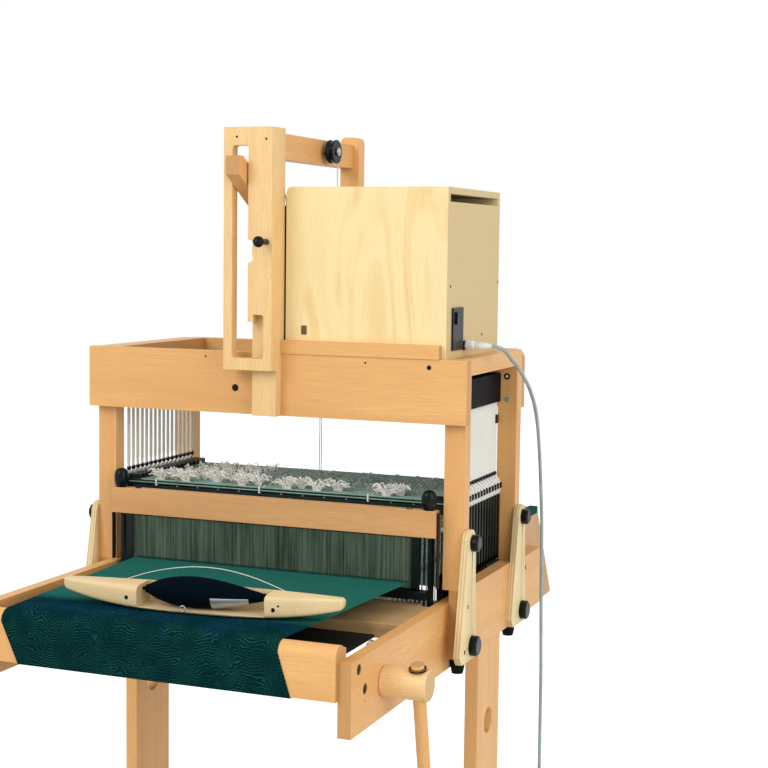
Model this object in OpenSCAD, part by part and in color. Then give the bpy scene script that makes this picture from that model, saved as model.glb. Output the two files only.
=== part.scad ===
// Table-height dobby loom on a stand, with its shuttle and computer lead.
// Frame of the drawing: X to the right, Y to the back, Z up, floor at Z = 0.
// Inside the modules Y = 0 is the front face of the front rail and X = 0 the middle of the loom.

/* [Castle] */
// Length of the front and back top rails
rail_len = 560; // [520:5:640]
// Height of the front and back top rails
rail_h = 84; // [70:1:90]
// Thickness of the front and back top rails
rail_t = 15; // [12:0.5:20]
// Height of the top rails' upper edge above the floor
rail_top_z = 1010; // [1000:1:1030]
// Outer depth of the castle
castle_depth = 281; // [278:1:300]
// How far the top rails reach past the posts
rail_over = 6; // [2:0.5:10]
// Width of a post
post_w = 28; // [24:0.5:30]
// Depth of a post
post_d = 22; // [18:0.5:24]
// Height of a side rail between the posts and the top
side_rail_h = 22; // [18:0.5:26]
// Width of a side rail
side_rail_w = 36; // [34:0.5:40]

/* [Base] */
// Height of a base rail's lower edge above the floor
base_z = 615; // [605:1:620]
// Height of a base rail
base_h = 92; // [88:1:96]
// Thickness of a base rail
base_t = 19; // [17:0.5:21]
// Height of a side arm's lower edge above the floor
arm_z = 602; // [598:1:606]
// Height of a side arm
arm_h = 87; // [84:1:90]
// Thickness of a side arm
arm_t = 16.5; // [14:0.5:18]
// How far an arm reaches in front of the castle
arm_front = 316; // [300:1:360]
// How far an arm reaches behind the castle's front face
arm_back = 455; // [445:1:480]
// Thickness of a plywood bracket
bracket_t = 9; // [7:0.5:12]
// Diameter of a clamp knob
knob_d = 27; // [22:0.5:30]
// Height of a clamp knob
knob_h = 10; // [8:0.5:12]
// Thickness of a bolt in a knob
bolt_d = 8; // [6:0.5:10]
// Height of a rubber foot
foot_h = 20; // [14:0.5:26]

/* [Stand] */
// Thickness of a leg board
leg_t = 19; // [17:0.5:21]
// Width of a leg board from front to back
leg_w = 97; // [85:1:110]
// How far a leg's front edge lies behind the castle's front face
leg_y = 88; // [80:1:100]
// Diameter of the round hole in a leg
leg_hole_d = 35; // [30:1:40]
// Height of the round hole above the floor
leg_hole_z = 502; // [470:1:530]
// Length of a sled foot
sled_len = 500; // [440:5:560]
// Height of a sled foot
sled_h = 45; // [38:1:55]
// Width of a sled foot
sled_w = 38; // [32:1:42]
// Height of the stretcher between the legs
stretcher_h = 80; // [60:1:95]
// Thickness of the stretcher
stretcher_t = 19; // [16:0.5:22]

/* [Cloth and warp beams] */
// Height of the breast beam's top above the arms
breast_rise = 18; // [14:0.5:22]
// Height of the breast beam
breast_h = 63; // [58:1:68]
// Depth of the breast beam
breast_d = 30; // [26:1:34]
// Height of the back beam's top above the arms
back_rise = 58; // [50:1:62]
// Height of the back beam
back_beam_h = 40; // [34:1:46]
// Depth of the back beam
back_beam_d = 36; // [30:1:40]
// Thickness of a rear cheek
cheek_t = 12; // [10:0.5:14]
// Diameter of the hub on the cloth beam
hub_d = 37; // [34:0.5:40]
// How far the hub stands out from the arm
hub_len = 58; // [50:1:66]
// Diameter of a beam's roller
roller_d = 30; // [26:0.5:32]
// Diameter of a beam's journal
journal_d = 20; // [16:0.5:22]
// Diameter of the wound cloth
cloth_roll_d = 47; // [42:1:52]
// Diameter of the wound warp
warp_roll_d = 90; // [80:1:96]
// Diameter of a ratchet wheel
ratchet_d = 54; // [50:1:58]
// Thickness of a ratchet wheel and its pawl
ratchet_t = 4; // [3:0.5:5]
// Diameter of the turning bar
bar_d = 16; // [14:0.5:18]
// Length of the turning bar
bar_len = 230; // [200:5:235]
// Lean of the turning bar from upright
bar_lean = 12; // [5:1:25]

/* [Weaving] */
// How much shorter the reed's weave is at each side than the front rail
weave_margin = 78; // [76:1:90]
// Thickness of the cloth and the warp
cloth_t = 1; // [0.8:0.1:1.4]
// Number of shafts
shaft_count = 16;
// Distance from one shaft to the next
shaft_pitch = 12.6; // [12:0.1:12.8]
// Thickness of a shaft
shaft_t = 6; // [5:0.5:7]
// Height of a shaft
shaft_h = 190; // [182:1:194]
// How far the shafts' upper edge hangs below the castle's top
shaft_drop = 190; // [186:1:196]
// Lift of a shaft
lift = 50; // [40:1:50]
// Thickness of a lift cord
cord_d = 2; // [1.6:0.1:2.2]
// Number of groups of warp threads
group_count = 10;

/* [Beater] */
// Gap between the ends of the beater's top rail and the posts
beater_gap = 4; // [3:0.5:8]
// Height of the beater's top rail
beater_h = 36; // [32:1:40]
// Depth of the beater's top rail
beater_d = 14; // [12:0.5:16]
// Thickness of the beater's steel bars
sword_t = 5; // [4:0.5:6]
// Thickness of the reed
reed_t = 6; // [5:0.5:7]

/* [Tower] */
// Width of the slotted board
board_w = 71; // [70:1:76]
// Height of the slotted board
board_h = 321; // [310:1:330]
// Thickness of the slotted board and depth of the post's lower part
board_t = 15; // [13:0.5:17]
// Width of the tower post
tower_post_w = 35; // [32:1:37]
// Width of the lever's slot
slot_w = 23.5; // [22.5:0.5:26]
// Width of the hand lever
lever_w = 20; // [18:0.5:21]
// Height of the hand lever
lever_h = 27; // [24:0.5:30]
// Thickness of the lever's axle
axle_d = 10; // [8:0.5:12]
// Height of the top arm
top_arm_h = 34; // [30:1:38]
// Width of the top arm
top_arm_w = 22; // [18:1:24]
// Diameter of the pulley
pulley_d = 33; // [28:1:36]
// Thickness of the pulley
pulley_t = 12; // [10:0.5:14]

/* [Dobby box] */
// Width of the box
box_w = 228; // [220:1:228]
// Height of the box
box_h = 222; // [210:1:226]
// Depth of the box
box_d = 221; // [218:1:225]
// Thickness of the box's front, back and lid
ply_t = 9; // [8:0.5:10]
// Thickness of the box's side walls
wall_t = 6; // [5:0.5:8]

/* [Shuttle] */
// Length of the shuttle
shuttle_len = 370; // [350:1:390]
// Width of the shuttle
shuttle_w = 48; // [46:1:54]
// Height of the shuttle
shuttle_h = 30; // [28:1:34]
// Length of the wound bobbin
pirn_len = 158; // [140:1:164]
// Thickest diameter of the wound bobbin
pirn_d = 38; // [32:1:40]

/* [Lead] */
// Thickness of the computer lead
lead_d = 5; // [4.6:0.1:5.4]
// Turns in the coil
coil_turns = 4;
// Radius of the coil's inner turn
coil_r = 22; // [21:0.5:26]

/* [Hidden] */

// Clearances
gap = 0.3;          // between curved faces of separate pieces
run = 0.05;         // round a journal or pin in its hole
play = 2.5;         // beside a shaft and beside the beater

// Places across the loom
weave_w = rail_len - 2 * weave_margin;
post_out = rail_len / 2 - rail_over;
post_in = post_out - post_w;
stretcher_z = leg_hole_z - 240;
base_in = post_out - base_t;
arm_in = base_in - arm_t;
bracket_out = post_out + bracket_t;
knob_out = bracket_out + knob_h;
hub_end = base_in + hub_len;

// Places from front to back
front_post_y = rail_t;
rear_post_y = castle_depth - rail_t - post_d;
back_rail_y = castle_depth - rail_t;

// Heights
arm_top = arm_z + arm_h;
base_top = base_z + base_h;
side_rail_z = rail_top_z - side_rail_h;
bracket_top_z = rail_top_z - 222;
bracket_knob_high = bracket_top_z - 18;
bracket_knob_low = base_z + 18;
rail_end_r = 14;
breast_top = arm_top + breast_rise;
back_top = arm_top + back_rise;

// Cloth and warp
fell_y = -14;
fell_z = breast_top + 10;
breast_y = -arm_front - 6;
breast_back_y = breast_y + breast_d;
breast_r = 13;
breast_nose = 18;
nose_r = 4;
breast_step = 6;
cloth_skew = 15;
board_front = -126;
board_rear = 4;
board_thick = 18;
panel_front = -262;
panel_t = 4;
cloth_beam_y = -216;
cloth_beam_z = arm_z + 43;
back_beam_y = 452;
back_edge_r = 12;
part_y = 250;
cheek_y0 = 380;
cheek_slope = 0.59;
warp_beam_y = 500;
warp_beam_z = arm_z + 43;
cheek_bottom = arm_z - 10;
cheek_y1 = back_beam_y + back_beam_d;
cheek_y2 = cheek_y1 + cheek_slope * (back_top - cheek_bottom);
cheek_low_edge = 30;
back_spread = 1.08;
group_pitch = weave_w / group_count;
group_gap = 6;
group_w = group_pitch - group_gap;
ratchet_teeth = 24;
tooth_d = 4;
ratchet_in = 14;
bar_inset = 14;
bar_top = hub_d / 2 + 1.8 + 6;
pawl_reach = 34.6;
pawl_w = 8;
pin_d = 6;
pin_over = 3;
warp_roll_half = arm_in - cheek_t - ratchet_in - ratchet_t / 2 - pin_over - 1.3;
roll_spread = (warp_roll_half - 2 - group_w / 2) / group_x(group_count - 1);
cloth_left = cloth_skew + 6 - weave_w / 2;
cloth_right = cloth_skew - 34 + weave_w / 2;

// Shafts
shaft_y0 = 48;
shaft_half = post_in + 10;
shaft_top_z = rail_top_z - shaft_drop;
shaft_low_z = shaft_top_z - shaft_h;
shaft_step_z = base_top + 3;
shaft_bar = 8;
shaft_side = 9;
shaft_neck = 7;
shaft_plate_out = shaft_half - 3;
shaft_plate_z = shaft_top_z - 17;
heddle_w = 3;
shaft_low_half = arm_in - play;
cord_x = post_in - 2;
cord_top_z = side_rail_z - lift - 0.5;
channel_h = 41;
channel_w = 18;
channel_wall = 2.5;
channel_top_z = side_rail_z - 11;
channel_x = post_in + 4;
guide_d = 6;
guide_x = cord_x - cord_d / 2 - gap - guide_d / 2;
guide_z = channel_top_z - channel_h + guide_d / 2;
pull_z = guide_z + guide_d / 2 + cord_d / 2 - 0.2;

// Tower and lever
tower_right = 17;
board_left = tower_right - board_w;
board_z = rail_top_z - 22;
tower_top = board_z + board_h;
board_y = -2 * board_t;
tower_back_y = 10;
slot_left = board_left + 12.6;
slot_right = slot_left + slot_w;
slot_low = board_z + 16;
slot_top = board_z + 297;
slot_r = 4;
pocket_right = slot_right + 23;
pocket_h = 58;
tooth_w = 7.5;
tooth_h = 9.5;
notch_z = board_z + 143;
notch_h = 30;
notch_d = 6;
lever_x = slot_left + slot_w / 2 - 0.5;
lever_y = 196;
lever_rise = 108;
lever_z = rail_top_z + lever_rise;
lever_nose_y = board_y - 22;
lever_nose_rise = 249;
lever_nose_z = rail_top_z + lever_nose_rise;
lever_boss_r = 17;
top_arm_rise = 258;
top_arm_z = rail_top_z + top_arm_rise;
upright_w = 29;
upright_rise = 303;
upright_top = rail_top_z + upright_rise;
upright_r = 8;
upright_x = -3;
pulley_y = 141;
pulley_z = top_arm_z + 18;
pulley_x = tower_right + 7;
rope_d = 2;
rope_x = pulley_x + pulley_t / 2;
rope_hole_x = 5;

// Dobby box
box_x = 20;
box_right = box_x + box_w;
box_y = 8;
box_back = box_y + box_d;
floor_t = 19;
box_floor_z = rail_top_z - 17;
ledge_y = -2;
ledge_h = 18;
lid_z = rail_top_z + box_h - ply_t;
hook_x = 72;
hook_y0 = 26;
hook_pitch = 12;
hook_d = 3;
hook_rise = 120;
hook_top = rail_top_z + hook_rise;
comb_h = 12;
knife_x = 56;
knife_t = 8;
knife_z = rail_top_z + 36;
guide_box_x = 8;
guide_box_y = 12;
guide_box_z = rail_top_z;
guide_box_h = 197;
guide_box_d = 18;
rope_hole_z = guide_box_z + guide_box_h + 28;
plug_y = 80;
plug_z = rail_top_z + 15;
plug_len = 38;

// Beater
beater_half = post_in - beater_gap;
beater_y = -4;
beater_drop = 197;
beater_top_z = rail_top_z - beater_drop;
beater_low_z = arm_top + 6;
beater_bar_h = 11;
beater_pivot_y = 12;
beater_pivot_z = arm_z + 22;
sword_x = arm_in - 8;
sword_y = 6;
sword_w = 12;
side_rod_low = base_top + 3;
reed_low_z = beater_low_z + beater_bar_h;
reed_half = weave_w / 2 + 17;
reed_end = 11;
reed_plate_w = 13;
reed_bar = 7;
dent_w = 2;

// Shuttle
shuttle_x = 25.6;
shuttle_y = -239;
cloth_slope = (fell_z - breast_top - gap) / (fell_y - breast_y - breast_r);
shuttle_z = breast_top + cloth_t + 2 * gap + cloth_slope * (shuttle_y - breast_y - breast_r);
shuttle_turn = 3.98;
shuttle_steps = 10;
tip_h = 13;
tip_w = 12;
rear_wall = 8;
cavity_len = 166;
cavity_x0 = -76;
cavity_floor = 4;
pirn_z = cavity_floor + pirn_d / 2 + 0.6;
pirn_y = -3;

// Lead: points in the loom's frame, height from the floor
lead_path = [
    [box_right + plug_len, 80, 1025], [290, 80.3, 1024.8], [294, 81.3, 1024],
    [298, 83.3, 1022.5], [301.5, 86.2, 1020.1], [304.2, 90, 1017], [306, 95.6, 1012.4],
    [307.3, 106, 1005.8], [308, 120, 999.6], [308, 140, 990.3], [307.6, 164, 978.4],
    [307, 188, 964.9], [306, 210.6, 949.4], [305, 230.5, 931.5], [304, 247.5, 909],
    [302.6, 262.7, 880], [301.6, 274.5, 848], [301, 285.4, 805.2], [300.8, 293.5, 762],
    [300.5, 297.5, 722], [300.2, 300.2, 678], [300, 302.6, 639.6], [300, 306.6, 578.6],
    [300, 310.4, 518.7], [300, 312, 400], [300.5, 312, 250], [302, 312, 140], [304, 314, 80],
    [310, 319, 38], [322, 328, 13], [338, 337, 4.4], [356, 343, 3], [374, 346, 3], [392, 346, 3]
];
lead_r = lead_d / 2;
lead_sides = 10;
lead_end = lead_path[len(lead_path) - 1];
coil_pitch = lead_d + 0.7;
coil_step = lead_d + 0.8;
coil_sides = 6;
coil_rings = 24;
coil_x = lead_end[0] + lead_d;
coil_y = lead_end[1] + coil_r + coil_pitch * coil_turns / 2;
far_plug_len = 40;
far_sleeve = 13;

// Middle of the bounding box without the lead
mid_x = (hub_end - knob_out) / 2;
mid_y = (cheek_y2 + breast_y - gap - cloth_t) / 2;

// Puts a piece into the row's frame
module placed() {
    translate([-mid_x, -mid_y, 0]) children();
}

// A piece and its mirror image on the other side
module both_sides() {
    children();
    mirror([1, 0, 0]) children();
}

// A box given by its low and high corners
module block(low, high) {
    translate(low) cube(high - low);
}

// A cylinder along X from x0 to x1
module rod_x(x0, x1, y, z, d) {
    translate([x0, y, z]) rotate([0, 90, 0]) cylinder(h = x1 - x0, d = d, $fn = 48);
}

// A cylinder along Y from y0 to y1
module rod_y(x, y0, y1, z, d) {
    translate([x, y0, z]) rotate([-90, 0, 0]) cylinder(h = y1 - y0, d = d, $fn = 32);
}

// A cylinder upright from z0 to z1
module rod_z(x, y, z0, z1, d) {
    translate([x, y, z0]) cylinder(h = z1 - z0, d = d, $fn = 32);
}

// A flat shape drawn in Y and Z, given thickness from x0 to x1
module plate_x(x0, x1) {
    translate([x0, 0, 0]) rotate([90, 0, 90]) linear_extrude(height = x1 - x0) children();
}

// A flat shape drawn in X and Z, given thickness from y0 to y1
module plate_y(y0, y1) {
    translate([0, y1, 0]) rotate([90, 0, 0]) linear_extrude(height = y1 - y0) children();
}

// A rectangle with round corners, drawn flat
module round_rect(x0, y0, x1, y1, r) {
    translate([x0 + r, y0]) square([x1 - x0 - 2 * r, y1 - y0]);
    translate([x0, y0 + r]) square([x1 - x0, y1 - y0 - 2 * r]);
    for (x = [x0 + r, x1 - r], y = [y0 + r, y1 - r])
        translate([x, y]) circle(r = r, $fn = 32);
}

function unit(v) = v / norm(v);
function shaft_y(i) = shaft_y0 + i * shaft_pitch;
function hook_y(i) = hook_y0 + i * hook_pitch;
function group_x(k) = (k - (group_count - 1) / 2) * group_pitch;
function gap_x(k) = (k - group_count / 2) * group_pitch;

// Rings of a tube swept along points, closed at both ends
module tube(points, r, sides) {
    n = len(points);
    dirs = [for (i = [0 : n - 1])
        unit(points[min(i + 1, n - 1)] - points[max(i - 1, 0)])];
    rings = [for (i = [0 : n - 1])
        let (d = dirs[i],
             flat = unit(abs(d[2]) > 0.9 ? cross(d, [0, 1, 0]) : cross(d, [0, 0, 1])),
             up = cross(flat, d))
        for (k = [0 : sides - 1])
            let (a = 360 * k / sides)
            points[i] + r * (cos(a) * flat + sin(a) * up)];
    sweep_mesh(rings, n, sides);
}

// A closed mesh from n rings of equal sides, as triangles
module sweep_mesh(rings, n, sides) {
    sides_faces = [for (i = [0 : n - 2], k = [0 : sides - 1])
        let (a = i * sides + k, b = i * sides + (k + 1) % sides)
        each [[a, b, b + sides], [a, b + sides, a + sides]]];
    first_cap = [for (k = [1 : sides - 2]) [0, k + 1, k]];
    last = (n - 1) * sides;
    last_cap = [for (k = [1 : sides - 2]) [last, last + k, last + k + 1]];
    polyhedron(points = rings, faces = concat(sides_faces, first_cap, last_cap),
               convexity = 10);
}

// A thin strip that follows stations of [y, z, left, right], as thick as t to its normal
module strip(stations, t) {
    n = len(stations);
    rings = [for (i = [0 : n - 1])
        let (s = stations[i], p = stations[max(i - 1, 0)], q = stations[min(i + 1, n - 1)],
             d = unit([q[0] - p[0], q[1] - p[1]]), nrm = [-d[1], d[0]])
        each [[s[2], s[0], s[1]], [s[3], s[0], s[1]],
              [s[3], s[0] + t * nrm[0], s[1] + t * nrm[1]],
              [s[2], s[0] + t * nrm[0], s[1] + t * nrm[1]]]];
    sweep_mesh(rings, n, 4);
}

// Front rail with two holes for dark plugs and two small nail holes
module front_rail() {
    color("burlywood")
    placed() difference() {
        block([-rail_len / 2, 0, rail_top_z - rail_h], [rail_len / 2, rail_t, rail_top_z]);
        rod_y(-51, -1, 6, rail_top_z - 49, 10);
        rod_y(post_in - 18, -1, 6, rail_top_z - 11, 6.5);
        for (x = [-96, 139]) rod_y(x, -1, 6, rail_top_z - 8, 3);
    }
}

// Back rail, the two side rails and the ledge in front of the box
module castle_rails() {
    color("burlywood")
    placed() {
        plate_y(back_rail_y, castle_depth)
            union() {
                translate([-post_out, rail_top_z - rail_h])
                    square([2 * post_out, rail_h - rail_end_r]);
                translate([rail_end_r - post_out, rail_top_z - rail_h])
                    square([2 * (post_out - rail_end_r), rail_h]);
                for (s = [-1, 1])
                    translate([s * (post_out - rail_end_r), rail_top_z - rail_end_r])
                        circle(r = rail_end_r, $fn = 48);
            }
        both_sides()
            block([post_out - side_rail_w, rail_t, side_rail_z],
                  [post_out, back_rail_y, rail_top_z]);
        block([tower_right, ledge_y, rail_top_z], [box_right - 6, box_y, rail_top_z + ledge_h]);
    }
}

// Four posts that carry the castle on the base rails
module castle_posts() {
    color("burlywood")
    placed() both_sides() {
        for (y = [front_post_y, rear_post_y])
            difference() {
                block([post_in, y, base_top], [post_out, y + post_d, side_rail_z]);
                rod_x(post_out - 18, post_out + 1, y + post_d / 2, bracket_knob_high, bolt_d);
            }
    }
}

// Black channels: two that hide the lift cords and one that guides the lifter
module black_channels() {
    color("#1c1c1e")
    placed() {
        both_sides() difference() {
            block([channel_x - channel_w, front_post_y + post_d, channel_top_z - channel_h],
                  [channel_x, rear_post_y, channel_top_z]);
            block([channel_x - channel_w + channel_wall, front_post_y + post_d + 3,
                   channel_top_z - channel_h - 1],
                  [channel_x - channel_wall, rear_post_y - 3, channel_top_z + 1]);
            block([channel_x - channel_w - 1, shaft_y(0) - 4, guide_z + guide_d / 2 - 1],
                  [channel_x - channel_w + channel_wall + 1, shaft_y(shaft_count - 1) + 4,
                   guide_z + guide_d / 2 + 4]);
        }
        difference() {
            block([guide_box_x, guide_box_y, guide_box_z],
                  [box_x, guide_box_y + guide_box_d, guide_box_z + guide_box_h]);
            block([guide_box_x + 2, guide_box_y + 2, guide_box_z + 2],
                  [box_x + 1, guide_box_y + guide_box_d - 2, guide_box_z + guide_box_h - 2]);
        }
    }
}

// Guide rods, the cords that run across under the box, and the two visible ropes
module pull_cords() {
    color("whitesmoke")
    placed() {
        both_sides()
            rod_y(guide_x, front_post_y + post_d + 3, rear_post_y - 3, guide_z, guide_d);
        for (i = [0 : shaft_count - 1]) {
            flat_cord([-guide_x, shaft_y(i)], [hook_x - hook_d / 2 - gap, hook_y(i)]);
            flat_cord([hook_x + hook_d / 2 + gap, hook_y(i)], [guide_x, shaft_y(i)]);
        }
        rope_drop();
        rope_short();
    }
}

// A level cord from one point to another, as high as the guide rods carry it
module flat_cord(p, q) {
    d = q - p;
    translate([p[0], p[1], pull_z]) rotate([0, 0, atan2(d[1], d[0])]) rotate([0, 90, 0])
        cylinder(h = norm(d), d = cord_d, $fn = 24);
}

// The rope from the pulley down to its bushing in the lid
module rope_drop() {
    y = pulley_y + pulley_d / 2 - rope_d / 2;
    top = lid_z + ply_t;
    union() {
        rod_z(rope_x, y, top + 1.5, pulley_z - 7, rope_d);
        rod_z(rope_x, y, top, top + 1.5, 9);
        rod_z(rope_x, y, lid_z - 2, top, 6);
    }
}

// The short rope from the lifter's channel into a hole in the back of the tower post
module rope_short() {
    x = guide_box_x + 6;
    y = guide_box_y + guide_box_d / 2;
    z = guide_box_z + guide_box_h;
    end = rope_hole_x;
    tube([[x, y, z], [x, y, z + 5], [x - 1, y - 0.4, z + 12], [x - 3.5, y - 1.4, z + 19],
          [x - 6.4, y - 3.2, z + 24.5], [end + 0.6, y - 5.6, rope_hole_z - 0.6],
          [end, y - 8, rope_hole_z], [end, tower_back_y - 3, rope_hole_z]], rope_d / 2, 8);
}

// Base rails under the posts, with holes for the bracket bolts
module base_rails() {
    color("tan")
    placed() both_sides() difference() {
        block([base_in, front_post_y, base_z], [post_out, castle_depth, base_top]);
        for (y = [front_post_y, rear_post_y])
            rod_x(post_out - 15, post_out + 1, y + post_d / 2 + 3, bracket_knob_low, bolt_d);
    }
}

// Side arms from the breast beam to the rear cheeks; the left one stands as high as the base rail
module side_arms() {
    color("burlywood")
    placed() {
        difference() {
            block([arm_in, -arm_front, arm_z], [base_in, arm_back, arm_top]);
            rod_x(base_in - 5, base_in + 1, 23 - arm_front, arm_top - 12, 13);
            rod_x(base_in - 5, base_in + 1, 42 - arm_front, arm_top - 39, 13);
            rod_x(base_in - 5, base_in + 1, 42 - arm_front, arm_top - 53, 3);
            arm_bores();
        }
        mirror([1, 0, 0]) difference() {
            block([arm_in, -arm_front, base_z], [base_in, arm_back, base_top]);
            arm_bores();
        }
    }
}

// Holes in an arm for the cloth beam and for the beater's pin
module arm_bores() {
    rod_x(arm_in - 1, base_in + 1, cloth_beam_y, cloth_beam_z, journal_d + 2 * run);
    rod_x(arm_in - 1, arm_in + 8, beater_pivot_y, beater_pivot_z, bolt_d);
}

// Four plywood brackets that clamp the posts to the base rails
module corner_brackets() {
    color("wheat")
    placed() both_sides() {
        for (y = [front_post_y, rear_post_y])
            difference() {
                plate_x(post_out, bracket_out) bracket_shape(y);
                rod_x(post_out - 1, bracket_out + 1, y + post_d / 2, bracket_knob_high, bolt_d);
                rod_x(post_out - 1, bracket_out + 1, y + post_d / 2 + 3, bracket_knob_low, bolt_d);
            }
    }
}

// Outline of a bracket, wider at the bottom, with a round top
module bracket_shape(y) {
    top_z = bracket_top_z;
    low_z = base_z;
    top_r = 16;
    c = y + post_d / 2 - 2;
    union() {
        translate([c, top_z - top_r]) circle(r = top_r, $fn = 48);
        polygon([[c - top_r, top_z - top_r], [c + top_r, top_z - top_r],
                 [c + 24, low_z], [c - 34, low_z], [c - 44, low_z + 12]]);
    }
}

// Clamp knobs with their bolts, and the ball knob on the tower
module black_knobs() {
    color("#161618")
    placed() {
        both_sides()
            for (y = [front_post_y, rear_post_y]) {
                clamp_knob(y + post_d / 2, bracket_knob_high, knob_d - 5);
                clamp_knob(y + post_d / 2 + 3, bracket_knob_low, knob_d);
            }
        ball_knob();
    }
}

// One clamp knob: a domed disc and a bolt into the wood
module clamp_knob(y, z, d) {
    translate([0, y, z]) rotate([0, 90, 0]) {
        translate([0, 0, post_out - 14]) cylinder(h = 14 + bracket_t, d = bolt_d, $fn = 32);
        translate([0, 0, bracket_out]) cylinder(h = knob_h - 2, d = d, $fn = 48);
        translate([0, 0, bracket_out + knob_h - 2])
            cylinder(h = 2, d1 = d, d2 = d - 5, $fn = 48);
    }
}

// Ball knob on a stem, screwed into the slotted board
module ball_knob() {
    x = tower_right - 8;
    z = rail_top_z + 148.5;
    translate([x, board_y, z]) rotate([90, 0, 0]) {
        cylinder(h = 22, d = 8, $fn = 32);
        translate([0, 0, 24]) sphere(d = 15, $fn = 40);
    }
}

// Rubber feet under the base rails
module rubber_feet() {
    color("#101012")
    placed() both_sides()
        for (y = [front_post_y + 8, rear_post_y + 6])
            translate([base_in + base_t / 2, y + 4, base_z - foot_h])
                union() {
                    translate([0, 0, foot_h / 2]) cylinder(h = foot_h / 2, d = 19, $fn = 40);
                    cylinder(h = foot_h / 2, d1 = 15, d2 = 19, $fn = 40);
                }
}

// Profile of the breast beam: a nose with rounded edges and a lower step behind it
module breast_beam() {
    low = breast_top - breast_h;
    color("burlywood")
    placed() plate_x(-arm_in, arm_in)
        union() {
            translate([breast_y, low]) square([breast_d, breast_h - breast_r]);
            translate([breast_y + breast_r, low])
                square([breast_d - breast_r, breast_h - breast_step]);
            translate([breast_y + breast_r, breast_top - breast_r])
                circle(r = breast_r, $fn = 64);
            translate([breast_y + breast_r, low])
                square([breast_nose - breast_r - nose_r, breast_h]);
            translate([breast_y + breast_nose - nose_r, low])
                square([nose_r, breast_h - nose_r]);
            translate([breast_y + breast_nose - nose_r, breast_top - nose_r])
                circle(r = nose_r, $fn = 32);
        }
}

// Back beam, rounded on both upper edges
module back_beam() {
    color("peru")
    placed() plate_x(cheek_t - arm_in, arm_in - cheek_t)
        union() {
            translate([back_beam_y, back_top - back_beam_h])
                square([back_beam_d, back_beam_h - back_edge_r]);
            translate([back_beam_y + back_edge_r, back_top - back_beam_h])
                square([back_beam_d - 2 * back_edge_r, back_beam_h]);
            for (y = [back_beam_y + back_edge_r, cheek_y1 - back_edge_r])
                translate([y, back_top - back_edge_r]) circle(r = back_edge_r, $fn = 48);
        }
}

// Rear cheeks that carry the back beam and the warp beam
module rear_cheeks() {
    color("peru")
    placed() both_sides() difference() {
        plate_x(arm_in - cheek_t, arm_in)
            polygon([[cheek_y0 + cheek_low_edge, back_top], [cheek_y1, back_top],
                     [cheek_y2, cheek_bottom], [cheek_y0, cheek_bottom],
                     [cheek_y0, arm_top], [cheek_y0 + cheek_low_edge, arm_top + 10]]);
        rod_x(arm_in - cheek_t - 1, arm_in + 1, warp_beam_y, warp_beam_z, journal_d + 2 * run);
    }
}

// Board under the cloth, with notches for the beater's swords, and a thin panel in front of it
module cross_board() {
    low = arm_top - board_thick;
    color("#8a6a48")
    placed() union() {
        difference() {
            block([-arm_in, board_front, low], [arm_in, board_rear, arm_top]);
            for (s = [-1, 1])
                block([s * sword_x - 9, -12, low - 1], [s * sword_x + 9, board_rear + 1, arm_top + 1]);
        }
        block([-arm_in, panel_front, low],
              [arm_in - ratchet_in - board_thick, board_front + 1, low + panel_t]);
    }
}

// Leg boards of the stand
module stand_legs() {
    color("burlywood")
    placed() both_sides() difference() {
        block([post_out - leg_t, leg_y, sled_h], [post_out, leg_y + leg_w, base_z]);
        rod_x(post_out - leg_t - 1, post_out + 1, leg_y + leg_w / 2, leg_hole_z, leg_hole_d);
    }
}

// Sled feet on the floor and the stretcher between the legs
module stand_feet() {
    color("burlywood")
    placed() {
        both_sides()
            plate_x(post_out - leg_t / 2 - sled_w / 2, post_out - leg_t / 2 + sled_w / 2)
                round_rect(leg_y + leg_w / 2 - sled_len / 2, 0,
                           leg_y + leg_w / 2 + sled_len / 2, sled_h, 12);
        block([leg_t - post_out, leg_y + leg_w / 2 - stretcher_t / 2, stretcher_z],
              [post_out - leg_t, leg_y + leg_w / 2 + stretcher_t / 2,
               stretcher_z + stretcher_h]);
    }
}

// Slotted board that guides and latches the hand lever
module tower_board() {
    color("burlywood")
    placed() difference() {
        block([board_left, board_y, board_z], [tower_right, board_y + board_t, tower_top]);
        plate_y(board_y - 1, board_y + board_t + 1) slot_shape();
    }
}

// Outline of the slot with its latch pocket, tooth and half-way notch
module slot_shape() {
    round_rect(slot_left, slot_low, slot_right, slot_top, slot_r);
    difference() {
        round_rect(slot_left, slot_low, pocket_right, slot_low + pocket_h, slot_r);
        translate([slot_right, slot_low + pocket_h - tooth_h]) square([tooth_w, tooth_h + 1]);
    }
    round_rect(slot_right - slot_r, notch_z, slot_right + notch_d, notch_z + notch_h, 5.5);
}

// Post behind the slotted board, lapped over the front rail
module tower_post() {
    color("burlywood")
    placed() {
        difference() {
            union() {
                block([tower_right - tower_post_w, -board_t, rail_top_z - rail_h],
                      [tower_right, 0, tower_top]);
                block([tower_right - tower_post_w, -board_t, rail_top_z],
                      [tower_right, tower_back_y, tower_top]);
            }
            rod_y(rope_hole_x, tower_back_y - 4, tower_back_y + 1, rope_hole_z,
                  rope_d + 4 * run);
        }
    }
}

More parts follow.
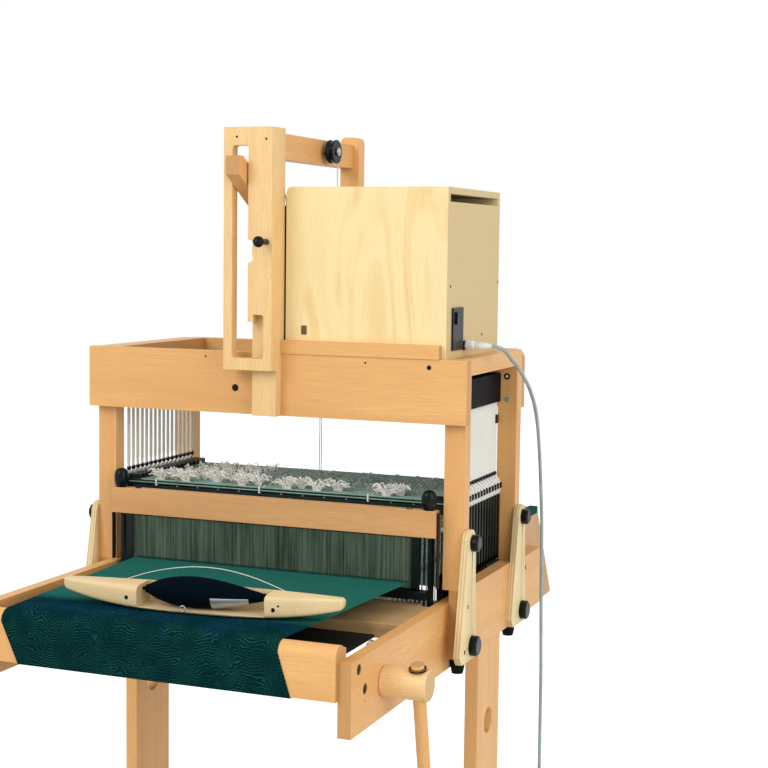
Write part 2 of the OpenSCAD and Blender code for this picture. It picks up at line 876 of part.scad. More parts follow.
// Arm from the tower to the rear upright, and that upright
module top_arm() {
    color("burlywood")
    placed() {
        difference() {
            block([tower_right - top_arm_w, tower_back_y, top_arm_z],
                  [tower_right, back_rail_y - post_d, top_arm_z + top_arm_h]);
            rod_x(tower_right - 12, tower_right + 1, pulley_y, pulley_z, 6);
        }
        plate_y(back_rail_y - post_d, back_rail_y)
            union() {
                translate([upright_x, rail_top_z - rail_h])
                    square([upright_w, upright_rise + rail_h - upright_r]);
                translate([upright_x + upright_r, rail_top_z - rail_h])
                    square([upright_w - 2 * upright_r, upright_rise + rail_h]);
                for (x = [upright_x + upright_r, upright_x + upright_w - upright_r])
                    translate([x, upright_top - upright_r]) circle(r = upright_r, $fn = 32);
            }
    }
}

// Panels of the dobby box, its floor board and the comb for the hooks
module box_shell() {
    color("#e6c88c")
    placed() {
        plate_y(box_y, box_y + ply_t)
            union() {
                translate([box_x, rail_top_z]) square([box_w, box_h - 8]);
                translate([box_x + 8, rail_top_z]) square([box_w - 8, box_h]);
                translate([box_x + 8, rail_top_z + box_h - 8]) circle(r = 8, $fn = 40);
            }
        block([box_x, box_back - ply_t, rail_top_z + 2], [box_right, box_back, lid_z]);
        difference() {
            block([box_x, box_y + ply_t, rail_top_z + 2],
                  [box_x + wall_t, box_back - ply_t, lid_z]);
            block([box_x - 1, guide_box_y + 5, rail_top_z + 25],
                  [box_x + wall_t + 1, guide_box_y + 15, knife_z + lift + knife_t + 8]);
            rod_x(box_x - 1, box_x + wall_t + 1, lever_y, lever_z, axle_d);
        }
        difference() {
            block([box_right - ply_t, box_y + ply_t, rail_top_z + 2],
                  [box_right, box_back - ply_t, lid_z - 10]);
            block([box_right - ply_t - 1, 32, rail_top_z + 14],
                  [box_right + 1, 66, rail_top_z + 62]);
            block([box_right - ply_t - 1, plug_y - 8, plug_z - 6],
                  [box_right + 1, plug_y + 8, plug_z + 6]);
        }
        difference() {
            block([box_x, rail_t, box_floor_z], [box_right, back_rail_y - post_d, rail_top_z + 2]);
            block([hook_x - 6, hook_y(0) - 5, box_floor_z - 1],
                  [hook_x + 6, hook_y(shaft_count - 1) + 5, rail_top_z + 3]);
            block([post_out - side_rail_w, rail_t - 1, box_floor_z - 1],
                  [box_right + 1, back_rail_y, rail_top_z]);
            block([box_x - 1, rail_t - 1, rail_top_z],
                  [box_right + 1, box_y + ply_t, rail_top_z + 3]);
        }
        difference() {
            block([hook_x - 12, box_y + ply_t, rail_top_z + 2],
                  [hook_x + 12, box_back - ply_t, rail_top_z + 2 + comb_h]);
            for (i = [0 : shaft_count - 1])
                rod_z(hook_x, hook_y(i), rail_top_z, rail_top_z + comb_h + 3, hook_d + 2 * run);
        }
    }
}

// Lid of the box with the hole for the rope
module box_lid() {
    color("#e2c080")
    placed() difference() {
        block([box_x, box_y + ply_t, lid_z], [box_right, box_back, lid_z + ply_t]);
        rod_z(rope_x, pulley_y + pulley_d / 2 - rope_d / 2, lid_z - 1, lid_z + ply_t + 1, 6);
    }
}

// Power inlet with its switch, and the data socket
module box_ports() {
    color("#202224")
    placed() {
        union() {
            block([box_right - ply_t - 12, 34, rail_top_z + 16],
                  [box_right + 1.5, 64, rail_top_z + 60]);
            block([box_right, 28, rail_top_z + 10], [box_right + 2.5, 70, rail_top_z + 66]);
            block([box_right + 2, 38, rail_top_z + 44], [box_right + 5, 60, rail_top_z + 60]);
        }
        block([box_right - ply_t - 6, plug_y - 8, plug_z - 6],
              [box_right + 3, plug_y + 8, plug_z + 6]);
    }
}

// Pulley on the side of the top arm, with the rope in its groove
module lift_pulley() {
    r = pulley_d / 2;
    color("#18181a")
    placed() {
        difference() {
            translate([pulley_x, pulley_y, pulley_z]) rotate([0, 90, 0])
                rotate_extrude($fn = 64) polygon([
                    [0, 0], [r, 0], [r, 3], [r - 2.2, 4.8], [r - 2.2, 7.2], [r, 9],
                    [r, pulley_t], [0, pulley_t]]);
            rod_x(pulley_x - 1, pulley_x + pulley_t + 1, pulley_y, pulley_z, 6 + 2 * run);
        }
    }
}

// Pins that moving pieces turn on: pulley, lever, pawls and beater
module pivot_pins() {
    color("silver")
    placed() {
        union() {
            rod_x(tower_right - 12, pulley_x + pulley_t + 4, pulley_y, pulley_z, 6);
            rod_x(tower_right, pulley_x - gap, pulley_y, pulley_z, 12);
            rod_x(pulley_x + pulley_t + gap, pulley_x + pulley_t + 3, pulley_y, pulley_z, 11);
        }
        union() {
            rod_x(lever_x - lever_w / 2 - 6, box_x + wall_t + 4, lever_y, lever_z, axle_d);
            rod_x(lever_x - lever_w / 2 - 6, lever_x - lever_w / 2 - gap, lever_y, lever_z, 18);
            rod_x(lever_x + lever_w / 2 + gap, box_x, lever_y, lever_z, 18);
        }
        both_sides() union() {
            rod_x(sword_x - sword_t / 2 - 4, arm_in + 8, beater_pivot_y, beater_pivot_z, bolt_d);
            rod_x(sword_x + sword_t / 2 + gap, arm_in, beater_pivot_y, beater_pivot_z, 16);
            rod_x(sword_x - sword_t / 2 - 4, sword_x - sword_t / 2 - gap,
                  beater_pivot_y, beater_pivot_z, 14);
        }
        pawl_pin(cloth_beam_y, cloth_beam_z, arm_in);
        warp_side() pawl_pin(warp_beam_y, warp_beam_z, arm_in - cheek_t);
    }
}

// Puts a ratchet piece on the left, and turns its pull round, for the warp beam
module warp_side() {
    translate([0, warp_beam_y, 0]) mirror([1, 0, 0]) mirror([0, 1, 0])
        translate([0, -warp_beam_y, 0]) children();
}

// Places of a pawl's pivot and tip next to a ratchet wheel
function pawl_at(y, z) = [y + pawl_reach, z + ratchet_d / 2 + 4];

// Pin of a pawl, standing out from the wall beside the ratchet wheel
module pawl_pin(y, z, wall_x) {
    p = pawl_at(y, z);
    x0 = wall_x - ratchet_in - ratchet_t / 2;
    rod_x(x0 - pin_over, wall_x, p[0], p[1], pin_d);
    rod_x(x0 + ratchet_t + gap, wall_x, p[0], p[1], 11);
}

// Hand lever: a bar with a boss on its axle, reaching through the slot
module hand_lever() {
    color("burlywood")
    placed() difference() {
        plate_x(lever_x - lever_w / 2, lever_x + lever_w / 2)
            union() {
                translate([lever_y, lever_z]) circle(r = lever_boss_r, $fn = 48);
                polygon([
                    [lever_nose_y, lever_nose_z - lever_h / 2],
                    [lever_nose_y + 4, lever_nose_z - lever_h / 2 - 2],
                    [lever_y - 4, lever_z - lever_boss_r],
                    [lever_y, lever_z + lever_boss_r],
                    [lever_nose_y + 12, lever_nose_z + lever_h / 2 - 2],
                    [lever_nose_y, lever_nose_z + lever_h / 2 - 2]]);
            }
        rod_x(lever_x - lever_w, lever_x + lever_w, lever_y, lever_z, axle_d + 2 * run);
    }
}

// Lifter: a slider in the channel and the knife bar that raises the hooks
module lifter() {
    color("silver")
    placed() union() {
        block([guide_box_x + 2 + run, guide_box_y + 2 + run, knife_z - 10],
              [box_x - 1, guide_box_y + guide_box_d - 2 - run, knife_z + 60]);
        block([box_x - 2, guide_box_y + 6, knife_z],
              [knife_x + 2, guide_box_y + 14, knife_z + knife_t]);
        block([knife_x, guide_box_y + 6, knife_z],
              [knife_x + knife_t, box_back - ply_t - 3, knife_z + knife_t]);
    }
}

// Top rail of the beater
module beater_rail() {
    color("burlywood")
    placed() difference() {
        block([-beater_half, beater_y, beater_top_z - beater_h],
              [beater_half, beater_y + beater_d, beater_top_z]);
        block([-reed_half - 1, -reed_t / 2 - 0.1, beater_top_z - beater_h - 1],
              [reed_half + 1, reed_t / 2 + 0.1, beater_top_z - beater_h + 6]);
    }
}

// Steel frame of the beater: swords, lower bar and side rods
module beater_frame() {
    color("#202022")
    placed() {
        difference() {
            union() {
                both_sides()
                    block([sword_x - sword_t / 2, sword_y, beater_pivot_z - 10],
                          [sword_x + sword_t / 2, sword_y + sword_w,
                           beater_top_z - beater_h]);
                block([-sword_x, -8, beater_low_z],
                      [sword_x, sword_y + 2, beater_low_z + beater_bar_h]);
            }
            block([-reed_half - 1, -reed_t / 2 - 0.1, beater_low_z + beater_bar_h - 4],
                  [reed_half + 1, reed_t / 2 + 0.1, beater_low_z + beater_bar_h + 1]);
            both_sides()
                rod_x(sword_x - sword_t, sword_x + sword_t, beater_pivot_y, beater_pivot_z,
                      bolt_d + 2 * run);
        }
        both_sides()
            block([beater_half, beater_y + 4, side_rod_low],
                  [beater_half + 2, beater_y + 12, beater_top_z - 3]);
    }
}

// Reed: top and bottom baulks, end plates and the dents between groups
module reed() {
    color("#6e7d72")
    placed() {
        low = beater_low_z + beater_bar_h - 4;
        high = beater_top_z - beater_h + 6;
        union() {
            block([-reed_half, -reed_t / 2, low], [reed_half, reed_t / 2, low + reed_bar]);
            block([-reed_half, -reed_t / 2, high - reed_bar], [reed_half, reed_t / 2, high]);
            both_sides()
                block([reed_half - reed_end, -reed_t / 2, low], [reed_half, reed_t / 2, high]);
            for (k = [0 : group_count])
                block([gap_x(k) - dent_w / 2, -reed_t / 2, low],
                      [gap_x(k) + dent_w / 2, reed_t / 2, high]);
        }
    }
}

// Dome knobs that clamp the beater rail on the reed
module beater_knobs() {
    color("#141416")
    placed() both_sides()
        translate([230, beater_y + beater_d / 2, beater_top_z])
            rotate_extrude($fn = 48) polygon([
                [0, 0], [7, 0], [9, 3], [10, 8], [10, 18], [8.5, 23], [5, 26], [0, 27]]);
}

// Woven cloth from the cloth beam up over the breast beam to the reed
module cloth() {
    half = weave_w / 2;
    b = breast_y;
    low = breast_top - breast_h;
    r = breast_r + gap;
    roll_r = cloth_roll_d / 2 + gap;
    bend = [b + breast_d, low - 4];
    to_bend = bend - [cloth_beam_y, cloth_beam_z];
    leave = 360 + atan2(to_bend[1], to_bend[0]) + acos(roll_r / norm(to_bend));
    color("#0e4f50")
    placed() strip(concat(
        [for (a = [leave + 20, leave + 10, leave])
            [cloth_beam_y + roll_r * cos(a), cloth_beam_z + roll_r * sin(a),
             cloth_left, cloth_right]],
        [[bend[0], bend[1], cloth_left, cloth_right], [b + 3, low - gap, cloth_left, cloth_right]],
        [for (a = [270, 225, 180])
            [b + gap * cos(a), low + gap * sin(a), cloth_left, cloth_right]],
        [for (a = [180 : -15 : 90])
            [b + breast_r + r * cos(a), breast_top - breast_r + r * sin(a), -2 - half, half - 35]],
        [[fell_y, fell_z, 2 - half, half + 5]]
    ), cloth_t);
}

// Warp in groups of threads, from the fell over the back beam to the warp beam
module warp() {
    w = group_w;
    er = back_edge_r + gap;
    yc = cheek_y1 - back_edge_r;
    zc = back_top - back_edge_r;
    y0 = back_beam_y + back_edge_r;
    wr = warp_roll_d / 2 + gap;
    far = norm([yc + er - warp_beam_y, zc - warp_beam_z]);
    leave = atan2(zc - warp_beam_z, yc + er - warp_beam_y) - acos(wr / far);
    part_z = fell_z + (back_top + gap - fell_z) * (part_y - fell_y) / (y0 - fell_y);
    color("#0f5254")
    placed() for (k = [0 : group_count - 1]) {
        x = group_x(k);
        bx = x * back_spread;
        rx = x * roll_spread;
        strip(concat([
            [fell_y, fell_z, x - w / 2, x + w / 2],
            [part_y, part_z, x - w / 2, x + w / 2],
            [y0, back_top + gap, bx - w / 2, bx + w / 2]],
            [for (a = [90 : -15 : 0])
                [yc + er * cos(a), zc + er * sin(a), bx - w / 2, bx + w / 2]],
            [for (a = [leave, leave - 10, leave - 20])
                [warp_beam_y + wr * cos(a), warp_beam_z + wr * sin(a), rx - w / 2, rx + w / 2]]
        ), cloth_t);
    }
}

// Roller on a thinner journal that turns in both arms or cheeks
module roller(half, wall, journal_end, y, z) {
    rod_x(-half + gap, half - gap, y, z, roller_d);
    rod_x(-half - wall + 1, journal_end, y, z, journal_d);
}

// Outline of a ratchet wheel
module ratchet_shape() {
    r = ratchet_d / 2;
    step = 360 / ratchet_teeth;
    polygon([for (i = [0 : ratchet_teeth - 1]) each [
        [(r - tooth_d) * cos(89 + i * step), (r - tooth_d) * sin(89 + i * step)],
        [r * cos(90 + i * step), r * sin(90 + i * step)]]]);
}

// Ratchet wheel of a beam
module ratchet_wheel(y, z, x_mid) {
    plate_x(x_mid - ratchet_t / 2, x_mid + ratchet_t / 2) translate([y, z]) ratchet_shape();
}

// Cloth beam with its hub and ratchet wheel
module cloth_beam() {
    color("burlywood")
    placed() difference() {
        union() {
            roller(arm_in, arm_t, base_in + 10, cloth_beam_y, cloth_beam_z);
            rod_x(base_in + gap, hub_end, cloth_beam_y, cloth_beam_z, hub_d);
            ratchet_wheel(cloth_beam_y, cloth_beam_z, arm_in - ratchet_in);
        }
        turning_axis() translate([0, 0, -hub_d])
            cylinder(h = 2 * hub_d, d = bar_d + 2 * run, $fn = 48);
    }
}

// Moves a piece drawn along Z onto the axis of the turning bar
module turning_axis() {
    translate([hub_end - bar_inset, cloth_beam_y, cloth_beam_z])
        rotate([bar_lean, 0, 0]) children();
}

// Cloth wound on the cloth beam
module cloth_roll() {
    color("#0c4648")
    placed() difference() {
        rod_x(cloth_left - 2, cloth_right + 2, cloth_beam_y, cloth_beam_z, cloth_roll_d);
        rod_x(cloth_left - 3, cloth_right + 3, cloth_beam_y, cloth_beam_z, roller_d);
    }
}

// Bar that turns the cloth beam, with a rubber ring near each end
module turning_bar() {
    color("burlywood")
    placed() turning_axis() {
        translate([0, 0, bar_top - bar_len]) cylinder(h = bar_len, d = bar_d, $fn = 48);
        for (z = [bar_top - 6, bar_top + 6 - bar_len]) translate([0, 0, z]) o_ring();
    }
}

// Rubber ring round the bar
module o_ring() {
    difference() {
        translate([0, 0, -1.5]) cylinder(h = 3, d = bar_d + 5, $fn = 48);
        translate([0, 0, -2]) cylinder(h = 4, d = bar_d, $fn = 48);
    }
}

// Pawl that rests on a ratchet wheel
module pawl(y, z, x_mid) {
    p = pawl_at(y, z);
    tip = [y, z + ratchet_d / 2 - tooth_d];
    x0 = x_mid - ratchet_t / 2;
    difference() {
        union() {
            rod_x(x0, x0 + ratchet_t, p[0], p[1], pawl_w + 6);
            plate_x(x0, x0 + ratchet_t)
                polygon([[tip[0] + 1.2, tip[1] + 0.6], [tip[0] + 7, tip[1] + 4.6],
                         [p[0] - 1, p[1] - 5.4], [p[0] - 1, p[1] + 5],
                         [tip[0] + 1.2, tip[1] + 5.5]]);
        }
        rod_x(x_mid - ratchet_t, x_mid + ratchet_t, p[0], p[1], pin_d + 2 * run);
    }
}

module cloth_pawl() {
    color("silver")
    placed() pawl(cloth_beam_y, cloth_beam_z, arm_in - ratchet_in);
}

module warp_pawl() {
    color("silver")
    placed() warp_side() pawl(warp_beam_y, warp_beam_z, arm_in - cheek_t - ratchet_in);
}

// Warp beam with its ratchet wheel
module warp_beam() {
    half = arm_in - cheek_t;
    color("burlywood")
    placed() union() {
        roller(half, cheek_t, arm_in - 1, warp_beam_y, warp_beam_z);
        warp_side() ratchet_wheel(warp_beam_y, warp_beam_z, half - ratchet_in);
    }
}

// Warp wound on the warp beam
module warp_roll() {
    half = warp_roll_half;
    color("#0d4648")
    placed() difference() {
        rod_x(-half, half, warp_beam_y, warp_beam_z, warp_roll_d);
        rod_x(-half - 1, half + 1, warp_beam_y, warp_beam_z, roller_d);
    }
}

// Outlines of the shuttle, s from -1 at one tip to 1 at the other
function keel(s) = (shuttle_h - tip_h) * pow(abs(s), 3);
function half_width(s) = tip_w / 2 + (shuttle_w - tip_w) / 2 * (1 - pow(abs(s), 2.4));

// Lays a piece on the sloping cloth, turned as the shuttle lies
module on_cloth() {
    translate([shuttle_x, shuttle_y, shuttle_z]) rotate([atan(cloth_slope), 0, 0])
        rotate([0, 0, shuttle_turn]) children();
}

// Boat shuttle with an open front: a side outline crossed with a plan outline
module shuttle() {
    l = shuttle_len / 2;
    n = shuttle_steps;
    color("#e8cf9a")
    placed() on_cloth() difference() {
        intersection() {
            plate_y(-shuttle_w / 2, shuttle_w / 2)
                polygon(concat([for (i = [-n : n]) [l * i / n, keel(i / n)]],
                    [[l, shuttle_h - 3], [l - 4, shuttle_h],
                     [4 - l, shuttle_h], [-l, shuttle_h - 3]]));
            linear_extrude(height = shuttle_h)
                polygon(concat([for (i = [-n : n]) [l * i / n, -half_width(i / n)]],
                    [for (i = [n : -1 : -n]) [l * i / n, half_width(i / n)]]));
        }
        block([cavity_x0, -shuttle_w, cavity_floor],
              [cavity_x0 + cavity_len, shuttle_w / 2 - rear_wall, shuttle_h + 1]);
        for (x = [cavity_x0 - 14, cavity_x0 + cavity_len + 10.5])
            rod_y(x, -shuttle_w / 2 - 1, shuttle_w / 2 - 8, shuttle_h / 2, 4);
    }
}

// Radius of the wound bobbin along its length, s from 0 to 1
function pirn_r(s) = 5 + (pirn_d / 2 - 5) * sin(180 * pow(s, 0.75));

// Bobbin wound with yarn, on a pin held in the shuttle
module pirn() {
    half = cavity_len / 2;
    color("#10182c")
    placed() on_cloth() translate([cavity_x0 + half, pirn_y, pirn_z]) rotate([0, 90, 0])
        rotate_extrude($fn = 48) polygon(concat(
            [[0, -half], [2, -half], [2, -pirn_len / 2], [5, -pirn_len / 2]],
            [for (i = [1 : 19]) [pirn_r(i / 20), (i / 20 - 0.5) * (pirn_len - 8)]],
            [[5, pirn_len / 2], [2, pirn_len / 2], [2, half], [0, half]]));
}

// Lead from the box down to the floor
module lead_run() {
    color("#7d8a8a")
    placed() tube(lead_path, lead_r, lead_sides);
}

// Angle, radius and height along the coil, u in turns
function coil_radius(u) = coil_r + coil_pitch * abs(coil_turns / 2 - u);
function coil_height(u) = lead_r + 0.5 + coil_step * max(0, min(1, (u - coil_turns / 2 + 0.25) * 2));
function coil_points() = [for (i = [0 : coil_turns * coil_rings])
    let (u = i / coil_rings, a = -90 + 360 * u)
    [coil_x + coil_radius(u) * cos(a), coil_y + coil_radius(u) * sin(a), coil_height(u)]];

// Least distance between turns of the coil, less the tube's own thickness
coil_list = coil_points();
coil_gap = min([for (i = [0 : len(coil_list) - 1], j = [i + coil_rings / 2 : len(coil_list) - 1])
    norm(coil_list[i] - coil_list[j])]) - lead_d;

// Coil of the rest of the lead on the floor
module lead_coil() {
    echo(coil_gap = coil_gap);
    color("#7d8a8a")
    placed() tube(concat([[lead_end[0], lead_end[1], lead_r + 0.5]], coil_list), lead_r, coil_sides);
}

// Plugs at both ends of the lead
module lead_plugs() {
    far = coil_list[len(coil_list) - 1];
    color("gainsboro")
    placed() {
        union() {
            rod_x(box_right + 3, box_right + 3 + 12, plug_y, plug_z, 13);
            rod_x(box_right + 14, box_right + plug_len, plug_y, plug_z, 10);
        }
        union() {
            rod_x(far[0], far[0] + far_sleeve + 1, far[1], far[2], lead_d + 1);
            translate([far[0] + far_sleeve, far[1] - 5, far[2] - lead_r])
                cube([far_plug_len - far_sleeve, 10, 10]);
        }
    }
}

// One shaft: frame with heddles, two lift cords and its hook in the box
module shaft(i) {
    y = shaft_y(i);
    color("#2a2c2e")
    placed() {
        union() {
            block([-shaft_half, y - shaft_t / 2, shaft_top_z - shaft_bar],
                  [shaft_half, y + shaft_t / 2, shaft_top_z]);
            block([-shaft_low_half, y - shaft_t / 2, shaft_low_z],
                  [shaft_low_half, y + shaft_t / 2, shaft_low_z + shaft_bar]);
            both_sides() {
                block([cord_x - shaft_neck / 2, y - shaft_t / 2, shaft_plate_z - shaft_bar],
                      [cord_x + shaft_neck / 2, y + shaft_t / 2, shaft_top_z]);
                block([shaft_plate_out - shaft_side, y - shaft_t / 2, shaft_step_z],
                      [shaft_plate_out, y + shaft_t / 2, shaft_plate_z]);
                block([shaft_low_half - shaft_side, y - shaft_t / 2, shaft_step_z],
                      [shaft_plate_out, y + shaft_t / 2, shaft_step_z + shaft_bar]);
                block([shaft_low_half - shaft_side, y - shaft_t / 2, shaft_low_z],
                      [shaft_low_half, y + shaft_t / 2, shaft_step_z + shaft_bar]);
            }
            for (k = [0 : group_count])
                block([gap_x(k) - heddle_w / 2, y - 1, shaft_low_z],
                      [gap_x(k) + heddle_w / 2, y + 1, shaft_top_z]);
        }
        both_sides() rod_z(cord_x, y, shaft_top_z, cord_top_z, cord_d);
        hook(hook_y(i));
    }
}

// Hook in the box that belongs to one shaft
module hook(y) {
    union() {
        rod_z(hook_x, y, pull_z - cord_d / 2, hook_top, hook_d);
        block([knife_x + knife_t + 2, y - 1, knife_z + 12], [hook_x, y + 1, knife_z + 18]);
    }
}

module shaft_01() { shaft(0); }
module shaft_02() { shaft(1); }
module shaft_03() { shaft(2); }
module shaft_04() { shaft(3); }
module shaft_05() { shaft(4); }
module shaft_06() { shaft(5); }
module shaft_07() { shaft(6); }
module shaft_08() { shaft(7); }
module shaft_09() { shaft(8); }
module shaft_10() { shaft(9); }
module shaft_11() { shaft(10); }
module shaft_12() { shaft(11); }
module shaft_13() { shaft(12); }
module shaft_14() { shaft(13); }
module shaft_15() { shaft(14); }
module shaft_16() { shaft(15); }

front_rail();
castle_rails();
castle_posts();
black_channels();
pull_cords();
base_rails();
side_arms();
corner_brackets();
black_knobs();
rubber_feet();
breast_beam();
back_beam();
rear_cheeks();
cross_board();
stand_legs();
stand_feet();
tower_board();
tower_post();
top_arm();
box_shell();
box_lid();
box_ports();
lift_pulley();
pivot_pins();
hand_lever();
lifter();
beater_rail();
beater_frame();
reed();
beater_knobs();
cloth();
warp();
cloth_beam();
cloth_roll();
turning_bar();
cloth_pawl();
warp_beam();
warp_roll();
warp_pawl();
shuttle();
pirn();
lead_run();
lead_coil();
lead_plugs();
shaft_01();
shaft_02();
shaft_03();
shaft_04();
shaft_05();
shaft_06();
shaft_07();
shaft_08();
shaft_09();
shaft_10();
shaft_11();
shaft_12();
shaft_13();
shaft_14();
shaft_15();
shaft_16();
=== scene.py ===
"""Looks of the table dobby loom. Sizes are in millimetres in the loom's own drawing frame:
X = 0 middle of the loom, Y = 0 front face of the front rail, Z = 0 floor. at() turns them into metres."""

import random
from math import acos, atan, atan2, copysign, cos, degrees, hypot, pi, radians, sin, sqrt, tau

import bmesh
import bpy
from mathutils import Matrix, Vector


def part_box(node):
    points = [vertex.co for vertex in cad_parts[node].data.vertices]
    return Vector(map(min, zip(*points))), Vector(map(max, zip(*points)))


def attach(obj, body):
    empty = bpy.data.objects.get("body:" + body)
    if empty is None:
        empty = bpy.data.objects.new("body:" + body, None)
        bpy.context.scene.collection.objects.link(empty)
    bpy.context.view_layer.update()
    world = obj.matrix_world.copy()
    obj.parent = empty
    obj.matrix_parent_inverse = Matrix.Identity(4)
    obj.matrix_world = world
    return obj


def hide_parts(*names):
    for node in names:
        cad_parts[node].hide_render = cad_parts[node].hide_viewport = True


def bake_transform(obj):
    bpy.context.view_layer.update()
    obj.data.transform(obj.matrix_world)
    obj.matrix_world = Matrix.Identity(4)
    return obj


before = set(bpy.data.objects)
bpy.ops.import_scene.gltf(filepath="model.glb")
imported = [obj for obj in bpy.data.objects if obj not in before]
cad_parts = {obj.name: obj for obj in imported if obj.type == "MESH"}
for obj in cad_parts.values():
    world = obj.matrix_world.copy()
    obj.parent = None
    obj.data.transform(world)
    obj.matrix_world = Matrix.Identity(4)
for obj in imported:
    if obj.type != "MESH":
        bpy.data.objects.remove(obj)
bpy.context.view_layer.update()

# Drawing frame to row frame
RAIL_CORNER = Vector((-280, 0, 926))
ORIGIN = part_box("front_rail")[0] * 1000 - RAIL_CORNER


def at(x, y, z):
    return (Vector((x, y, z)) + ORIGIN) / 1000


def new_object(name, data):
    obj = bpy.data.objects.new(name, data)
    bpy.context.collection.objects.link(obj)
    return obj


# Camera
CAMERA_PLACE = (918.72, -1920.27, 1153.04)
CAMERA_YAW = 21.40618859
CAMERA_PITCH = 4.92250152
CAMERA_ROLL = -0.73869983
CAMERA_LENS = 74.268


def add_camera():
    data = bpy.data.cameras.new("camera")
    data.lens = CAMERA_LENS
    data.sensor_width = 36
    data.clip_end = 60
    camera = new_object("camera", data)
    yaw, pitch, roll = (radians(a) for a in (CAMERA_YAW, CAMERA_PITCH, CAMERA_ROLL))
    forward = Vector((-sin(yaw) * cos(pitch), cos(yaw) * cos(pitch), -sin(pitch)))
    right = forward.cross(Vector((0, 0, 1))).normalized()
    down = forward.cross(right)
    x_axis = cos(roll) * right + sin(roll) * down
    y_axis = sin(roll) * right - cos(roll) * down
    turn = Matrix((x_axis, y_axis, -forward)).transposed()
    camera.matrix_world = Matrix.Translation(at(*CAMERA_PLACE)) @ turn.to_4x4()
    bpy.context.scene.camera = camera


add_camera()


# Materials, kept by name
MATERIALS = {}
GRAIN = {"x": (0, 1, 2), "y": (1, 0, 2), "z": (2, 0, 1)}


class Nodes:
    """A material's node tree, with short ways to add what the materials here need."""

    def __init__(self, name, rough, shine=0.5, metallic=0.0):
        self.material = MATERIALS[name] = bpy.data.materials.new(name)
        self.material.use_nodes = True
        self.tree = self.material.node_tree
        self.shader = self.tree.nodes["Principled BSDF"]
        self.shader.inputs["Roughness"].default_value = rough
        self.shader.inputs["Specular IOR Level"].default_value = shine
        self.shader.inputs["Metallic"].default_value = metallic

    def add(self, kind, inputs=(), **settings):
        node = self.tree.nodes.new("ShaderNode" + kind)
        for key, value in settings.items():
            setattr(node, key, value)
        for key, value in dict(inputs).items():
            self.put(node.inputs[key], value)
        return node

    def put(self, socket, value):
        if isinstance(value, bpy.types.NodeSocket):
            self.tree.links.new(value, socket)
        else:
            socket.default_value = value

    def place(self):
        return self.add("TexCoord").outputs["Object"]

    def facing(self):
        return self.add("TexCoord").outputs["Normal"]

    def split(self, vector):
        return self.add("SeparateXYZ", {0: vector}).outputs

    def join(self, x, y, z):
        return self.add("CombineXYZ", {0: x, 1: y, 2: z}).outputs[0]

    def along(self, vector, grain):
        """The vector with the grain's axis first."""
        xyz = self.split(vector)
        return self.join(*(xyz[i] for i in GRAIN[grain]))

    def noise(self, vector, scale, detail=2.0, rough=0.5, bend=0.0):
        return self.add("TexNoise", {"Vector": vector, "Scale": scale, "Detail": detail,
                                     "Roughness": rough, "Distortion": bend}).outputs["Fac"]

    def stretched(self, vector, scale, detail, rough=0.5, bend=0.0):
        """Noise with its own scale along each axis."""
        vector = self.add("Mapping", {"Vector": vector, "Scale": scale}).outputs[0]
        return self.noise(vector, 1.0, detail, rough, bend)

    def math(self, operation, a, b=0.0, c=0.0):
        node = self.add("Math", operation=operation)
        for socket, value in zip(node.inputs, (a, b, c)):
            self.put(socket, value)
        return node.outputs[0]

    def weigh(self, *pairs):
        """Sum of values, each times its weight."""
        total = 0.0
        for value, weight in pairs:
            total = self.math("MULTIPLY_ADD", value, weight, total)
        return total

    def wave(self, value, pitch):
        return self.math("SINE", self.math("MULTIPLY", value, tau / pitch))

    def ramp(self, factor, *stops):
        node = self.add("ValToRGB", {0: factor})
        marks = node.color_ramp.elements
        while len(marks) < len(stops):
            marks.new(0.5)
        for mark, (place, colour) in zip(marks, stops):
            mark.position = place
            mark.color = (*colour, 1)
        return node.outputs[0]

    def step(self, factor, low, high):
        return self.add("MapRange", {"Value": factor, "From Min": low, "From Max": high}).outputs[0]

    def mix(self, factor, a, b):
        node = self.add("Mix", data_type="RGBA")
        for socket, value in ((node.inputs[0], factor), (node.inputs[6], a), (node.inputs[7], b)):
            self.put(socket, (*value, 1) if isinstance(value, tuple) and len(value) == 3 else value)
        return node.outputs[2]

    def swap(self, factor, a, b):
        """Vector a where factor is 0, b where it is 1."""
        return self.add("Mix", {0: factor, 4: a, 5: b}, data_type="VECTOR").outputs[1]

    def colour(self, value):
        self.put(self.shader.inputs["Base Color"], value)

    def rough(self, value):
        self.put(self.shader.inputs["Roughness"], value)

    def bump(self, height, distance, strength=1.0):
        node = self.add("Bump", {"Height": height, "Distance": distance, "Strength": strength})
        self.tree.links.new(node.outputs[0], self.shader.inputs["Normal"])


def shade(colour, factor):
    return tuple(min(c * factor, 1) for c in colour)


END_SHADE = 0.7
PORE_SHADE = (0.42, 0.34, 0.28)


